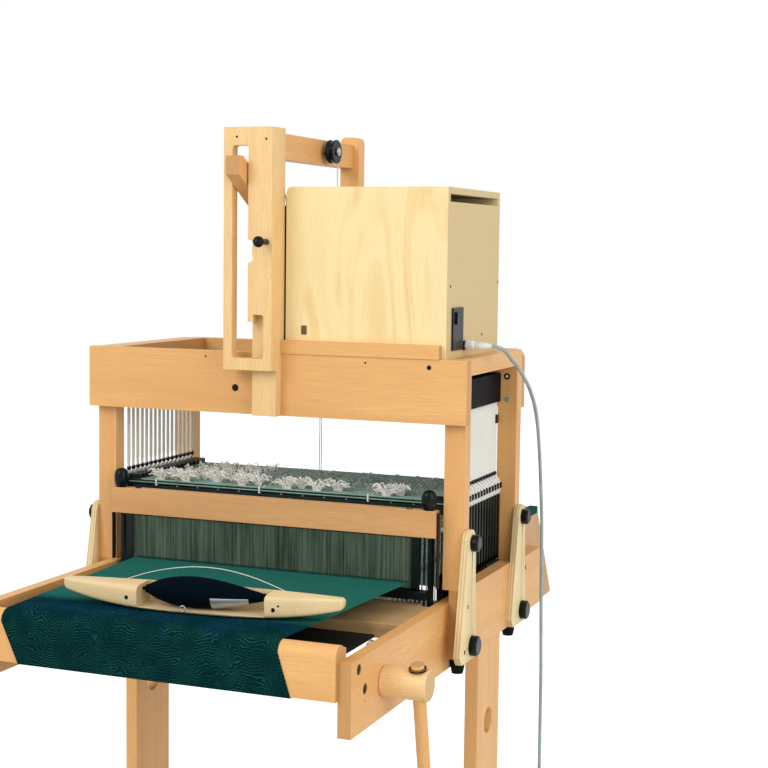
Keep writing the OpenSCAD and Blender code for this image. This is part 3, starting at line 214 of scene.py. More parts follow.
def wood(name, light, dark, grain, fleck=0.5, other=None):
    """Planed timber. other is (axis, low, high, grain): between two places in mm its grain is turned."""
    n = Nodes(name, 0.42, 0.35)
    place = n.place()
    along = n.along(place, grain)
    facing = n.along(n.facing(), grain)
    if other:
        axis, low, high, turned = other
        at_axis = n.split(place)[axis]
        above, below = (n.math(test, at_axis, (edge + ORIGIN[axis]) / 1000)
                        for test, edge in (("GREATER_THAN", low), ("LESS_THAN", high)))
        zone = n.math("MULTIPLY", above, below)
        along = n.swap(zone, along, n.along(place, turned))
        facing = n.swap(zone, facing, n.along(n.facing(), turned))
    broad = n.stretched(along, (1.6, 22, 22), 3, 0.55, 0.6)
    fibre = n.stretched(along, (30, 900, 900), 2, 0.6)
    pores = n.stretched(along, (260, 1500, 1500), 1)
    tone = n.ramp(broad, (0.30, dark), (0.62, light))
    tone = n.mix(n.step(fibre, 0.35, 0.75), tone, shade(light, 0.80))
    flecks = n.math("MULTIPLY", n.step(pores, 0.66, 0.74), fleck)
    tone = n.mix(flecks, tone, tuple(c * f for c, f in zip(dark, PORE_SHADE)))
    end = n.step(n.math("ABSOLUTE", n.split(facing)[0]), 0.75, 0.95)
    rings = n.stretched(along, (300, 420, 90), 2, 0.6)
    n.colour(n.mix(end, tone, n.mix(rings, shade(dark, END_SHADE), shade(light, END_SHADE))))
    n.rough(n.math("MULTIPLY_ADD", fibre, 0.18, 0.36))
    n.bump(n.weigh((fibre, 0.6), (pores, -0.4)), 0.0002, 0.35)


# Painted shade: the cross board's thin front part, ahead of this Y, is painted nearly black for the dark
# under the cloth; the two colours below are its tones.
PAINTED_SHADE_REAR = -126.2
PAINTED_SHADE_DARK = (0.006, 0.007, 0.006)
PAINTED_SHADE_LIGHT = (0.016, 0.016, 0.012)


def board(name, light, dark):
    """Brown board whose thin front part, ahead of the rear edge set above, is painted nearly black: painted
    shade for the dark under the cloth.
    """
    n = Nodes(name, 0.6, 0.12)
    place = n.place()
    fibre = n.stretched(place, (8, 160, 160), 3, 0.6)
    fleck = n.stretched(place, (120, 900, 900), 2, 0.6)
    tone = n.mix(n.math("MULTIPLY", fleck, 0.35), n.ramp(fibre, (0.32, dark), (0.66, light)), dark)
    # Painted shade: nearly black ahead of the rear edge, for the dark under the cloth.
    painted_shade = n.math("LESS_THAN", n.split(place)[1], (PAINTED_SHADE_REAR + ORIGIN.y) / 1000)
    n.colour(n.mix(painted_shade, tone, n.ramp(fibre, (0.3, PAINTED_SHADE_DARK), (0.7, PAINTED_SHADE_LIGHT))))
    n.bump(fibre, 0.0002, 0.3)


def plywood(name, light, dark, thick, ply, line=0.60):
    """Birch plywood. thick is the axis through the sheet: its edges show the layers, ply mm each."""
    n = Nodes(name, 0.48, 0.3)
    place = n.place()
    upright = n.along(place, "z")
    flame = n.stretched(upright, (3.2, 14, 14), 3, 0.5, 1.6)
    fibre = n.stretched(upright, (40, 1100, 1100), 2, 0.55)
    veneer = n.ramp(flame, (0.32, dark), (0.50, light), (0.68, shade(light, 0.94)))
    veneer = n.mix(n.step(fibre, 0.45, 0.8), veneer, shade(light, 0.84))
    axis = "xyz".index(thick)
    layer = n.wave(n.split(place)[axis], 2 * ply / 1000)
    edge = n.mix(n.step(layer, -0.25, 0.25), shade(dark, line), shade(light, 0.98))
    edge = n.mix(n.math("MULTIPLY", n.noise(place, 900), 0.35), edge, shade(dark, 0.5))
    side = n.step(n.math("ABSOLUTE", n.split(n.facing())[axis]), 0.55, 0.35)
    n.colour(n.mix(side, veneer, edge))
    n.bump(n.weigh((fibre, 1), (n.math("MULTIPLY", layer, side), 0.5)), 0.0002, 0.3)


def plastic(name, colour, rough, shine=0.5, grit=0.12, metallic=0.0):
    n = Nodes(name, rough, shine, metallic)
    place = n.place()
    fine = n.noise(place, 1400, 3, 0.6)
    broad = n.noise(place, 38, 3, 0.55)
    tone = n.weigh((broad, 0.7), (fine, 0.3))
    n.colour(n.ramp(tone, (0.30, shade(colour, 0.72)), (0.68, shade(colour, 1.2))))
    n.rough(n.math("MULTIPLY_ADD", broad, 0.22, rough - 0.10))
    n.bump(fine, 0.0001, grit)


def metal(name, colour, rough):
    """Metal with fine brushed lines along X."""
    n = Nodes(name, rough, metallic=1.0)
    place = n.place()
    lines = n.stretched(place, (40, 2600, 2600), 2, 0.6)
    stain = n.noise(place, 60, 3, 0.6)
    n.colour(n.ramp(stain, (0.3, shade(colour, 0.8)), (0.7, colour)))
    n.rough(n.math("MULTIPLY_ADD", n.math("ADD", lines, stain), 0.16, rough - 0.12))
    n.bump(lines, 0.00004, 0.3)


def yarn(name, colour, pitch=1.4):
    """Twisted thread or cord: slanting plies, pitch mm apart, and a soft uneven tone."""
    n = Nodes(name, 0.85, 0.02)
    place = n.place()
    x, y, z = n.split(place)
    twist = n.step(n.wave(n.weigh((z, 1), (x, 0.8), (y, 0.8)), pitch / 1000), -1, 1)
    fine = n.noise(place, 1300, 3, 0.6)
    tone = n.weigh((twist, 0.6), (fine, 0.4))
    n.colour(n.ramp(tone, (0.15, shade(colour, 0.62)), (0.75, shade(colour, 1.15))))
    n.bump(n.weigh((twist, 1), (fine, 0.3)), 0.0002, 0.5)


def streaked(name, dark, light):
    """Thin upright wires whose tone changes from one to the next."""
    n = Nodes(name, 0.5, 0.12)
    place = n.place()
    fine = n.stretched(place, (520, 1, 6), 2, 0.7)
    broad = n.stretched(place, (60, 1, 10), 3, 0.6)
    n.colour(n.ramp(n.weigh((fine, 0.65), (broad, 0.35)), (0.36, dark), (0.66, light)))
    n.bump(n.noise(place, 1500), 0.00005, 0.2)


# Pattern of the cloth: lengths along its UVs in metres, and the place in mm where the wavy part begins
CLOTH_CHANGE = -246
CHANGE_FADE = (-0.010, 0.014)
WEAVE_PITCH = 0.0013
LINE_PITCH = 0.0036
SWAY_LENGTH, SWAY_HEIGHT = 0.105, 0.014
RIPPLE_LENGTH, RIPPLE_HEIGHT = 0.037, 0.003
DRIFT = 0.006
BLUE_FROM = 0.155


def woven(name):
    """Plain cloth with a wavy twill in its front part. UV u runs across and v along."""
    n = Nodes(name, 0.9, 0.0)
    uv = n.split(n.add("UVMap", uv_map="weave").outputs[0])
    u, v = uv[0], uv[1]
    flat = n.join(u, v, 0.0)
    fine = n.step(n.math("MULTIPLY", n.wave(u, WEAVE_PITCH), n.wave(v, WEAVE_PITCH)), -1, 1)
    fuzz = n.noise(flat, 700, 3, 0.6)
    broad = n.noise(flat, 17, 3, 0.55)
    plain = n.mix(n.weigh((fine, 0.5), (fuzz, 0.5)), (0.010, 0.078, 0.062), (0.027, 0.175, 0.142))
    sway = n.math("SINE", n.weigh((u, tau / SWAY_LENGTH), (broad, 7)))
    ripple = n.math("SINE", n.weigh((u, tau / RIPPLE_LENGTH), (broad, 9)))
    row = n.weigh((v, 1), (sway, SWAY_HEIGHT), (ripple, RIPPLE_HEIGHT), (n.noise(flat, 60), DRIFT))
    lines = n.step(n.wave(row, LINE_PITCH), 0.30, 1.0)
    breaks = n.step(n.stretched(flat, (900, 500, 1), 2, 0.6), 0.36, 0.62)
    band = n.math("MULTIPLY_ADD", n.step(n.noise(flat, 31), 0.38, 0.66), 0.75, 0.25)
    blue = n.step(n.weigh((broad, 1), (n.math("SUBTRACT", v, BLUE_FROM), 6)), 0.60, 0.78)
    ground = n.mix(blue, (0.0018, 0.019, 0.020), (0.002, 0.022, 0.036))
    light = n.mix(blue, (0.022, 0.140, 0.112), (0.018, 0.130, 0.165))
    wavy = n.mix(n.math("MULTIPLY", n.math("MULTIPLY", lines, breaks), band), ground, light)
    change = (CLOTH_CHANGE + ORIGIN.y) / 1000
    rearward = n.step(n.split(n.place())[1], *(change + fade for fade in CHANGE_FADE))
    n.colour(n.mix(rearward, wavy, plain))
    n.bump(n.weigh((lines, 0.5), (fine, 0.4)), 0.0003, 0.4)


BEECH_LIGHT = (0.82, 0.455, 0.165)
BEECH_DARK = (0.69, 0.335, 0.108)
CASTLE_SIDES = (15.1, 265.9)
STRETCHER_HALF = 244
UPRIGHT_FACE = 243.9


def add_materials():
    for grain in "xyz":
        wood(f"beech_{grain}", BEECH_LIGHT, BEECH_DARK, grain)
    wood("castle", BEECH_LIGHT, BEECH_DARK, "x", other=(1, *CASTLE_SIDES, "y"))
    wood("stand", BEECH_LIGHT, BEECH_DARK, "y", other=(0, -STRETCHER_HALF, STRETCHER_HALF, "x"))
    wood("top_arm", BEECH_LIGHT, BEECH_DARK, "z", other=(1, 0, UPRIGHT_FACE, "y"))
    wood("tower", (0.86, 0.585, 0.265), (0.76, 0.47, 0.19), "z")
    # Painted shade: the beater rail's wood is painted darker for the shade under the castle.
    wood("beater_wood_painted_shade", (0.70, 0.375, 0.150), (0.56, 0.265, 0.095), "x")
    # Painted shade: the rear cheeks' wood is painted darker than the beech for their shaded outer faces.
    wood("cheek_wood_painted_shade", (0.62, 0.35, 0.135), (0.48, 0.25, 0.09), "z")
    wood("hub_wood", (0.90, 0.60, 0.27), (0.80, 0.47, 0.18), "x")
    wood("shuttle_wood", (0.80, 0.63, 0.35), (0.68, 0.49, 0.24), "x", fleck=0.25)
    # The cross board's thin front part is painted shade, nearly black.
    board("dark_board", (0.50, 0.34, 0.16), (0.36, 0.22, 0.095))
    plywood("bracket_ply", (0.84, 0.68, 0.37), (0.72, 0.54, 0.27), "x", 2.2, line=0.86)
    plywood("box_ply", (0.88, 0.70, 0.36), (0.78, 0.55, 0.24), "y", 1.4)
    plastic("black_plastic", (0.0035, 0.006, 0.007), 0.22, 0.14)
    plastic("black_channel", (0.002, 0.003, 0.006), 0.5, 0.05)
    plastic("black_metal", (0.004, 0.008, 0.007), 0.3, 0.16)
    plastic("rubber", (0.004, 0.004, 0.005), 0.7, 0.08, grit=0.3)
    plastic("white_plastic", (0.80, 0.79, 0.74), 0.34)
    plastic("grey_lead", (0.34, 0.42, 0.395), 0.45, 0.3)
    plastic("dark_bar", (0.012, 0.026, 0.020), 0.4, 0.15)
    # Painted highlight: the shafts' light rods take this grey for the glints on their bars; the bolt head
    # takes it too.
    plastic("bar_highlight_and_bolt_grey", (0.20, 0.33, 0.275), 0.35, 0.3)
    plastic("silver_paper", (0.40, 0.43, 0.44), 0.3, metallic=0.6)
    plastic("brown_tab", (0.10, 0.055, 0.022), 0.5)
    metal("steel", (0.62, 0.62, 0.60), 0.32)
    streaked("reed_wire", (0.030, 0.055, 0.034), (0.185, 0.265, 0.185))
    yarn("white_cord", (0.90, 0.88, 0.80))
    yarn("grey_cord", (0.40, 0.45, 0.42))
    yarn("warp_yarn", (0.012, 0.075, 0.062), 1.0)
    yarn("teal_felt", (0.012, 0.080, 0.066), 1.6)
    yarn("navy_yarn", (0.0012, 0.004, 0.008), 1.2)
    woven("cloth")


add_materials()


# Mesh building. A lathe's profile starts at AXIS, since a ring with no radius has no faces
AXIS = 0.1
SHARP = 35
BEVEL_FROM = 30


def turns(count):
    """Angles of one whole turn in even steps."""
    return [tau * k / count for k in range(count)]


def arc(centre, r, angles):
    """Places on a circle at angles in degrees."""
    return [(centre[0] + r * cos(a), centre[1] + r * sin(a)) for a in map(radians, angles)]


class Shape:
    """Collects the faces of one piece, in the loom's millimetres."""

    def __init__(self):
        self.points = []
        self.faces = []

    def add(self, points, faces, turn=None):
        base = len(self.points)
        for p in map(Vector, points):
            self.points.append(at(*(turn @ p if turn else p)))
        self.faces += [tuple(base + i for i in face) for face in faces]

    def box(self, low, high, turn=None):
        x, y, z = zip(low, high)
        points = [(x[i], y[j], z[k]) for i in (0, 1) for j in (0, 1) for k in (0, 1)]
        faces = [(0, 1, 3, 2), (4, 6, 7, 5), (0, 4, 5, 1), (2, 3, 7, 6), (0, 2, 6, 4), (1, 5, 7, 3)]
        self.add(points, faces, turn)

    def side_box(self, s, low, high):
        """A box given for the right side, put on side s."""
        (x0, y0, z0), (x1, y1, z1) = low, high
        self.box((min(s * x0, s * x1), y0, z0), (max(s * x0, s * x1), y1, z1))

    def loft(self, rings, turn=None, caps=True, closed=False):
        """Joins rings of as many points each, closed when the last ring goes on to the first."""
        count, sides = len(rings), len(rings[0])
        faces = []
        for i in range(count if closed else count - 1):
            a, b = i * sides, (i + 1) % count * sides
            faces += [(a + k, a + (k + 1) % sides, b + (k + 1) % sides, b + k) for k in range(sides)]
        if caps and not closed:
            faces += [tuple(range(sides))[::-1], tuple((count - 1) * sides + k for k in range(sides))]
        self.add([p for ring in rings for p in ring], faces, turn)

    def tube(self, path, radius, sides=8):
        """A round rod along a path. The radius is one number, or one for each place."""
        path = [Vector(p) for p in path]
        rings = []
        flat = None
        for i, p in enumerate(path):
            way = (path[min(i + 1, len(path) - 1)] - path[max(i - 1, 0)]).normalized()
            if flat is None:
                flat = way.cross(Vector((0, 0, 1)) if abs(way.z) < 0.9 else Vector((0, 1, 0))).normalized()
            else:
                flat = (flat - way * flat.dot(way)).normalized()
            up = flat.cross(way)
            r = radius[i] if isinstance(radius, (list, tuple)) else radius
            rings.append([p + r * (cos(a) * flat + sin(a) * up) for a in turns(sides)])
        self.loft(rings)

    def lathe(self, profile, turn, sides=32, closed=False):
        """Turns (radius, height) points about Z, then places the result by turn."""
        rings = [[(r * cos(a), r * sin(a), h) for a in turns(sides)] for r, h in profile]
        self.loft(rings, turn, caps=not closed, closed=closed)

    def piece(self, name, material, body, slot=None, smooth=SHARP, bevel=0.0, node=None):
        """One object that rides on a body. The slot argument is not used."""
        mesh = bpy.data.meshes.new(name)
        mesh.from_pydata(self.points, [], self.faces)
        work = bmesh.new()
        work.from_mesh(mesh)
        bmesh.ops.recalc_face_normals(work, faces=work.faces)
        work.to_mesh(mesh)
        work.free()
        obj = new_object(name, mesh)
        mesh.materials.append(MATERIALS[material])
        mesh.shade_smooth()
        mesh.set_sharp_from_angle(angle=radians(smooth))
        if bevel:
            add_bevel(obj, bevel)
        if body:
            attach(obj, body)
        if node:
            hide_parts(node)
        return obj


def add_bevel(obj, width):
    mod = obj.modifiers.new("bevel", "BEVEL")
    mod.width = width / 1000
    mod.segments = 2
    mod.limit_method = "ANGLE"
    mod.angle_limit = radians(BEVEL_FROM)
    mod.harden_normals = True


def cut(obj, cutter):
    """Takes the cutter out of a piece for good."""
    mod = obj.modifiers.new("cut", "BOOLEAN")
    mod.object = cutter
    mod.operation = "DIFFERENCE"
    mod.solver = "EXACT"
    bpy.context.view_layer.objects.active = obj
    bpy.ops.object.select_all(action="DESELECT")
    obj.select_set(True)
    bpy.ops.object.modifier_apply(modifier="cut")
    bpy.data.objects.remove(cutter)
    obj.data.shade_smooth()
    obj.data.set_sharp_from_angle(angle=radians(SHARP))


def lay_x(x, y, z):
    """Turns a lathe's axis along X, its start at a place."""
    return Matrix.Translation((x, y, z)) @ Matrix.Rotation(pi / 2, 4, "Y")


def lay_y(x, y, z):
    """Turns a lathe's axis along Y, its start at a place."""
    return Matrix.Translation((x, y, z)) @ Matrix.Rotation(-pi / 2, 4, "X")


# Lead: the points of its route, as the part's source gives them
LEAD_D = 5
LEAD_ROUTE = [
    (286, 80, 1025), (290, 80.3, 1024.8), (294, 81.3, 1024), (298, 83.3, 1022.5), (301.5, 86.2, 1020.1),
    (304.2, 90, 1017), (306, 95.6, 1012.4), (307.3, 106, 1005.8), (308, 120, 999.6), (308, 140, 990.3),
    (307.6, 164, 978.4), (307, 188, 964.9), (306, 210.6, 949.4), (305, 230.5, 931.5), (304, 247.5, 909),
    (302.6, 262.7, 880), (301.6, 274.5, 848), (301, 285.4, 805.2), (300.8, 293.5, 762), (300.5, 297.5, 722),
    (300.2, 300.2, 678), (300, 302.6, 639.6), (300, 306.6, 578.6), (300, 310.4, 518.7), (300, 312, 400),
    (300.5, 312, 250), (302, 312, 140), (304, 314, 80), (310, 319, 38), (322, 328, 13), (338, 337, 4.4),
    (356, 343, 3), (374, 346, 3), (392, 346, 3)]
COIL_TURNS = 4
COIL_R = 22
COIL_PITCH = LEAD_D + 0.7
COIL_STEP = LEAD_D + 0.8
COIL_RINGS = 48
COIL_Z = LEAD_D / 2 + 0.5
NEAR_PLUG = (251, 80, 1025)
NEAR_PROFILE = [
    (AXIS, 0), (5.6, 0), (6.5, 0.8), (6.5, 10.5), (5.9, 12), (5, 12.6), (5, 23.8), (4.6, 24.6), (4.9, 25.4),
    (4.3, 26.6), (4.6, 27.4), (4.0, 28.6), (4.3, 29.4), (3.7, 30.6), (3.9, 31.4), (3.3, 32.6), (3.5, 33.4),
    (3.0, 34.6), (2.9, 36.5), (AXIS, 36.5)]
GRIPS = 12
FAR_SECTIONS = ((-0.5, 2.8, 2.8), (6, 2.9, 2.9), (12, 3.0, 3.0), (13.5, 4.4, 3.6), (15, 5, 4.3),
                (28, 5, 4.3), (30, 4.4, 3.8))
FAR_MOUTH = (30, 40, 3.6, 2.2)


def coil_points():
    """The coil: it winds in on the floor for half its turns, then out again one layer up."""
    x0 = LEAD_ROUTE[-1][0] + LEAD_D
    y0 = LEAD_ROUTE[-1][1] + COIL_R + COIL_PITCH * COIL_TURNS / 2
    for i in range(COIL_TURNS * COIL_RINGS + 1):
        u = i / COIL_RINGS
        a = radians(360 * u - 90)
        r = COIL_R + COIL_PITCH * abs(COIL_TURNS / 2 - u)
        lift = max(0, min(1, (u - COIL_TURNS / 2 + 0.25) * 2))
        yield Vector((x0 + r * cos(a), y0 + r * sin(a), COIL_Z + COIL_STEP * lift))


def smooth_path(points, parts=6):
    """Catmull-Rom points through the given ones."""
    points = [Vector(p) for p in points]
    out = []
    for i in range(len(points) - 1):
        a, b = points[max(i - 1, 0)], points[i]
        c, d = points[i + 1], points[min(i + 2, len(points) - 1)]
        for k in range(parts):
            t = k / parts
            out.append(0.5 * (2 * b + (c - a) * t + (2 * a - 5 * b + 4 * c - d) * t * t
                              + (3 * b - a - 3 * c + d) * t ** 3))
    return out + [points[-1]]


def add_curve(name, points, diameter, material, body):
    """A round cord as a curve through the points."""
    data = bpy.data.curves.new(name, "CURVE")
    data.dimensions = "3D"
    data.bevel_depth = diameter / 2000
    data.bevel_resolution = 4
    data.use_fill_caps = True
    spline = data.splines.new("POLY")
    spline.points.add(len(points) - 1)
    for point, p in zip(spline.points, points):
        point.co = (*at(*p), 1)
    obj = new_object(name, data)
    data.materials.append(MATERIALS[material])
    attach(obj, body)
    return obj


def add_near_plug():
    """The round plug at the box, with a ring of grips and ribs behind it."""
    plug = Shape()
    turn = lay_x(*NEAR_PLUG)
    plug.lathe(NEAR_PROFILE, turn, 28)
    for a in turns(GRIPS):
        plug.box((6.2, -0.7, 2.5), (6.9, 0.7, 9.5), turn @ Matrix.Rotation(a, 4, "Z"))
    return plug.piece("lead_plug_near", "white_plastic", "loom", bevel=0.2)


def add_far_plug(x, y, z):
    """The flat plug at the coil's end."""
    plug = Shape()
    corners = ((-1, -1), (1, -1), (1, 1), (-1, 1))
    plug.loft([[(x + along, y + s * w, z + t * h) for s, t in corners] for along, w, h in FAR_SECTIONS])
    start, end, w, h = FAR_MOUTH
    plug.box((x + start, y - w, z - h), (x + end, y + w, z + h))
    return plug.piece("lead_plug_far", "white_plastic", "loom", bevel=0.5, node="lead_plugs")


def add_lead():
    near = add_near_plug()
    coil = list(coil_points())
    far_plug = add_far_plug(*coil[-1])
    lead = add_curve("lead", smooth_path(LEAD_ROUTE) + coil[1:], LEAD_D, "grey_lead", "loom")
    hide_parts("lead_run", "lead_coil")


add_lead()


# Finish of the CAD nodes that stay: a material, and the bevel width of each node that has it
KEPT = {
    "beech_x": {"front_rail": 1.2, "breast_beam": 1.2, "back_beam": 1.2},
    "beech_y": {"base_rails": 1.2, "side_arms": 1.6, "hand_lever": 1.0},
    "beech_z": {"castle_posts": 1.2, "stand_legs": 1.4, "turning_bar": 0.8},
    "castle": {"castle_rails": 1.2},
    "stand": {"stand_feet": 1.4},
    "tower": {"tower_board": 1.0, "tower_post": 1.2},
    "top_arm": {"top_arm": 1.2},
    "cheek_wood_painted_shade": {"rear_cheeks": 1.2},
    "beater_wood_painted_shade": {"beater_rail": 1.4},
    "dark_board": {"cross_board": 0.8},
    "bracket_ply": {"corner_brackets": 0.8},
    "box_ply": {"box_shell": 0.7, "box_lid": 0.7},
    "black_channel": {"black_channels": 0.4},
    "black_plastic": {"black_knobs": 0.6, "box_ports": 0.5, "lift_pulley": 0.4, "beater_knobs": 0.5},
    "black_metal": {"beater_frame": 0.4},
    "rubber": {"rubber_feet": 0.6},
    "steel": {"pivot_pins": 0.4, "lifter": 0.4, "cloth_pawl": 0.3, "warp_pawl": 0.3},
}


def dress(node, material, bevel):
    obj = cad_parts[node]
    weld = obj.modifiers.new("weld", "WELD")
    weld.merge_threshold = 0.00001
    obj.data.materials.clear()
    obj.data.materials.append(MATERIALS[material])
    add_bevel(obj, bevel)


for material, nodes in KEPT.items():
    for node, bevel in nodes.items():
        dress(node, material, bevel)


# Cloth, from the cloth beam round the breast beam to the reed. Edges are left and right
CLOTH_LOW = (-181, 183)
CLOTH_ON_BREAST = (-204, 167)
CLOTH_AT_REED = (-200, 207)
CLOTH_T = 1.0
CLOTH_COLUMNS = 60
CLOTH_ROW = 4.0
BREAST_Y = -322
BREAST_TOP = 707
BREAST_R = 13
BREAST_H = 63
BREAST_D = 30
FELL = (-14, 717)
GAP = 0.3
CLOTH_BEAM = (-216, 645)
WARP_BEAM = (500, 645)
CLOTH_ROLL_D = 47
WARP_ROLL_D = 90


def cloth_stations():
    """Places along the cloth: y, z, left and right edge."""
    low = BREAST_TOP - BREAST_H
    roll_r = CLOTH_ROLL_D / 2 + GAP
    bend = (BREAST_Y + BREAST_D, low - 4)
    dy, dz = bend[0] - CLOTH_BEAM[0], bend[1] - CLOTH_BEAM[1]
    leave = degrees(atan2(dz, dy) + acos(roll_r / hypot(dy, dz)))
    under = arc(CLOTH_BEAM, roll_r, (leave + more for more in (20, 15, 10, 5, 0)))
    under += [bend, (BREAST_Y + 3, low - GAP)] + arc((BREAST_Y, low), GAP, (270, 225, 180))
    over = arc((BREAST_Y + BREAST_R, BREAST_TOP - BREAST_R), BREAST_R + GAP, range(180, 89, -15))
    return ([(*place, *CLOTH_LOW) for place in under] + [(*place, *CLOTH_ON_BREAST) for place in over]
            + [(*FELL, *CLOTH_AT_REED)])


def dense(stations):
    """Adds places between stations, in straight lines."""
    out = [stations[0]]
    for a, b in zip(stations, stations[1:]):
        parts = max(1, round(hypot(b[0] - a[0], b[1] - a[1]) / CLOTH_ROW))
        out += [tuple(p + (q - p) * k / parts for p, q in zip(a, b)) for k in range(1, parts + 1)]
    return out


def sheet_faces(rows, columns):
    """Faces of a closed sheet. All points of its outer side come first, row by row."""
    wide = columns + 1
    count = rows * wide
    faces = []
    for i in range(rows - 1):
        for k in range(columns):
            a, b = i * wide + k, (i + 1) * wide + k
            faces += [(a, a + 1, b + 1, b), (count + a, count + b, count + b + 1, count + a + 1)]
    rim = list(range(wide)) + [i * wide + columns for i in range(1, rows)]
    rim += [(rows - 1) * wide + k for k in range(columns - 1, -1, -1)]
    rim += [i * wide for i in range(rows - 2, 0, -1)]
    return faces + [(a, count + a, count + b, b) for a, b in zip(rim, rim[1:] + rim[:1])]


def add_cloth():
    """The woven web, with UVs in metres across and along it."""
    stations = dense(cloth_stations())
    top, low, uvs = [], [], []
    run = 0.0
    for i, (y, z, left, right) in enumerate(stations):
        before, after = stations[max(i - 1, 0)], stations[min(i + 1, len(stations) - 1)]
        dy, dz = after[0] - before[0], after[1] - before[1]
        thick = CLOTH_T / hypot(dy, dz)
        run += hypot(y - before[0], z - before[1])
        for k in range(CLOTH_COLUMNS + 1):
            x = left + (right - left) * k / CLOTH_COLUMNS
            top.append((x, y - thick * dz, z + thick * dy))
            low.append((x, y, z))
            uvs.append((x / 1000, run / 1000))
    shape = Shape()
    shape.add(top + low, sheet_faces(len(stations), CLOTH_COLUMNS))
    obj = shape.piece("cloth_web", "cloth", "loom", "teal_cloth", smooth=60, node="cloth")
    layer = obj.data.uv_layers.new(name="weave")
    uvs += uvs
    for loop in obj.data.loops:
        layer.data[loop.index].uv = uvs[loop.vertex_index]
    wide, run = (CLOTH_AT_REED[1] - CLOTH_AT_REED[0]) / 1000, run / 1000


add_cloth()


# Wound rolls, rollers and ratchet wheels
ROLLER_R, JOURNAL_R = 15, 10
CLOTH_ROLLER, WARP_ROLLER = 238.2, 226.2
CLOTH_JOURNAL, WARP_JOURNAL = 254, 237.5
HUB = [(JOURNAL_R, 255.3), (17.7, 255.3), (18.5, 256.1), (18.5, 312.0), (17.6, 313), (AXIS, 313)]
CLOTH_WOUND = (CLOTH_LOW[0] - 2, CLOTH_LOW[1] + 2)
WARP_WOUND = (-206.2, 206.2)
LAYER = 2.2
RATCHET_R, RATCHET_TEETH, TOOTH, RATCHET_T = 27, 24, 4, 4
CLOTH_RATCHET_X, WARP_RATCHET_X = 222.5, -214.5
BAR_X, BAR_LEAN, BORE_R = 299, 12, 8.05
ON_BAR = Matrix.Translation((BAR_X, *CLOTH_BEAM)) @ Matrix.Rotation(radians(BAR_LEAN), 4, "X")


def wound_roll(name, ends, beam, diameter, material, body, slot, node):
    """Cloth or warp wound on a roller, with the edges of its layers at both ends."""
    r = diameter / 2
    length = ends[1] - ends[0]
    layers = int((r - ROLLER_R) / LAYER)
    edge = [(ROLLER_R, 0)]
    for k in range(layers + 1):
        rr = ROLLER_R + (r - ROLLER_R) * k / layers
        edge += [(rr - 0.6, 0.8 * (k % 2)), (rr, 0.3 + 0.9 * (k % 2))]
    steps = 48
    face = [(r - 0.35 * (k % 2), 3 + (length - 6) * k / steps) for k in range(steps + 1)]
    shape = Shape()
    shape.lathe(edge + face + [(rr, length - h) for rr, h in reversed(edge)], lay_x(ends[0], *beam), 72,
                closed=True)
    shape.piece(name, material, body, slot, smooth=50, node=node)


def add_ratchet(name, x0, beam, flip, body):
    """A ring of saw teeth. flip says to which side they point."""
    y, z = beam
    rings = []
    for x in (x0, x0 + RATCHET_T):
        outer, inner = [], []
        for a in turns(RATCHET_TEETH):
            for more, r in ((89, RATCHET_R - TOOTH), (90, RATCHET_R)):
                c, s = cos(a + radians(more)), sin(a + radians(more))
                outer.append((x, y + flip * r * c, z + r * s))
                inner.append((x, y + flip * ROLLER_R * c, z + ROLLER_R * s))
        rings += [outer, inner]
    wheel = Shape()
    wheel.loft([rings[1], rings[0], rings[2], rings[3]], closed=True)
    wheel.piece(name, "steel", body, bevel=0.3)


def roller_end(half, reach):
    """Profile of a roller's right end, with its journal out to reach."""
    return [(ROLLER_R, half - 1), (ROLLER_R - 1, half), (JOURNAL_R, half), (JOURNAL_R, reach - 1),
            (JOURNAL_R - 1, reach), (AXIS, reach)]


def mirrored(profile):
    return [(r, -h) for r, h in reversed(profile)]


def add_beams():
    wound_roll("cloth_wound", CLOTH_WOUND, CLOTH_BEAM, CLOTH_ROLL_D, "teal_felt",
               "cloth_beam", "teal_cloth", "cloth_roll")
    wound_roll("warp_wound", WARP_WOUND, WARP_BEAM, WARP_ROLL_D, "warp_yarn",
               "warp_beam", "teal_warp", "warp_roll")
    add_ratchet("cloth_ratchet", CLOTH_RATCHET_X, CLOTH_BEAM, 1, "cloth_beam")
    roller = Shape()
    end = roller_end(CLOTH_ROLLER, CLOTH_JOURNAL)
    roller.lathe(mirrored(end) + end[:3] + HUB, lay_x(0, *CLOTH_BEAM), 64)
    hub = roller.piece("cloth_roller", "hub_wood", "cloth_beam", "beech", node="cloth_beam")
    bore = Shape()
    bore.lathe([(BORE_R, -40), (BORE_R, 40)], ON_BAR, 48)
    cut(hub, bore.piece("bore_cutter", "hub_wood", "cloth_beam", "beech"))
    add_ratchet("warp_ratchet", WARP_RATCHET_X, WARP_BEAM, -1, "warp_beam")
    roller = Shape()
    end = roller_end(WARP_ROLLER, WARP_JOURNAL)
    roller.lathe(mirrored(end) + end, lay_x(0, *WARP_BEAM), 64)
    roller.piece("warp_roller", "beech_x", "warp_beam", "beech", node="warp_beam")


add_beams()


# Warp threads, each through a heddle of its shaft
THREADS = 200
THREAD_R = 0.35
WARP_LEFT, WARP_RIGHT = -199, 206
SHAFTS = 16
SHAFT_Y = [48 + 12.6 * i for i in range(SHAFTS)]
BACK_Y = 464
BACK_TOP = 747
BACK_EDGE = (476, 735)
BACK_R = 12.7
BACK_SPREAD = 1.08
ROLL_SPREAD = BACK_SPREAD * 0.913
WARP_FRONT = FELL[1] + 0.4
WARP_BACK = BACK_TOP + 0.7


def thread_x(j):
    """Where thread j passes its heddle."""
    return WARP_LEFT + (WARP_RIGHT - WARP_LEFT) * j / (THREADS - 1)


def thread_z(y):
    """Height of the warp, straight from the cloth to the back beam."""
    return WARP_FRONT + (WARP_BACK - WARP_FRONT) * (y - FELL[0]) / (BACK_Y - FELL[0])


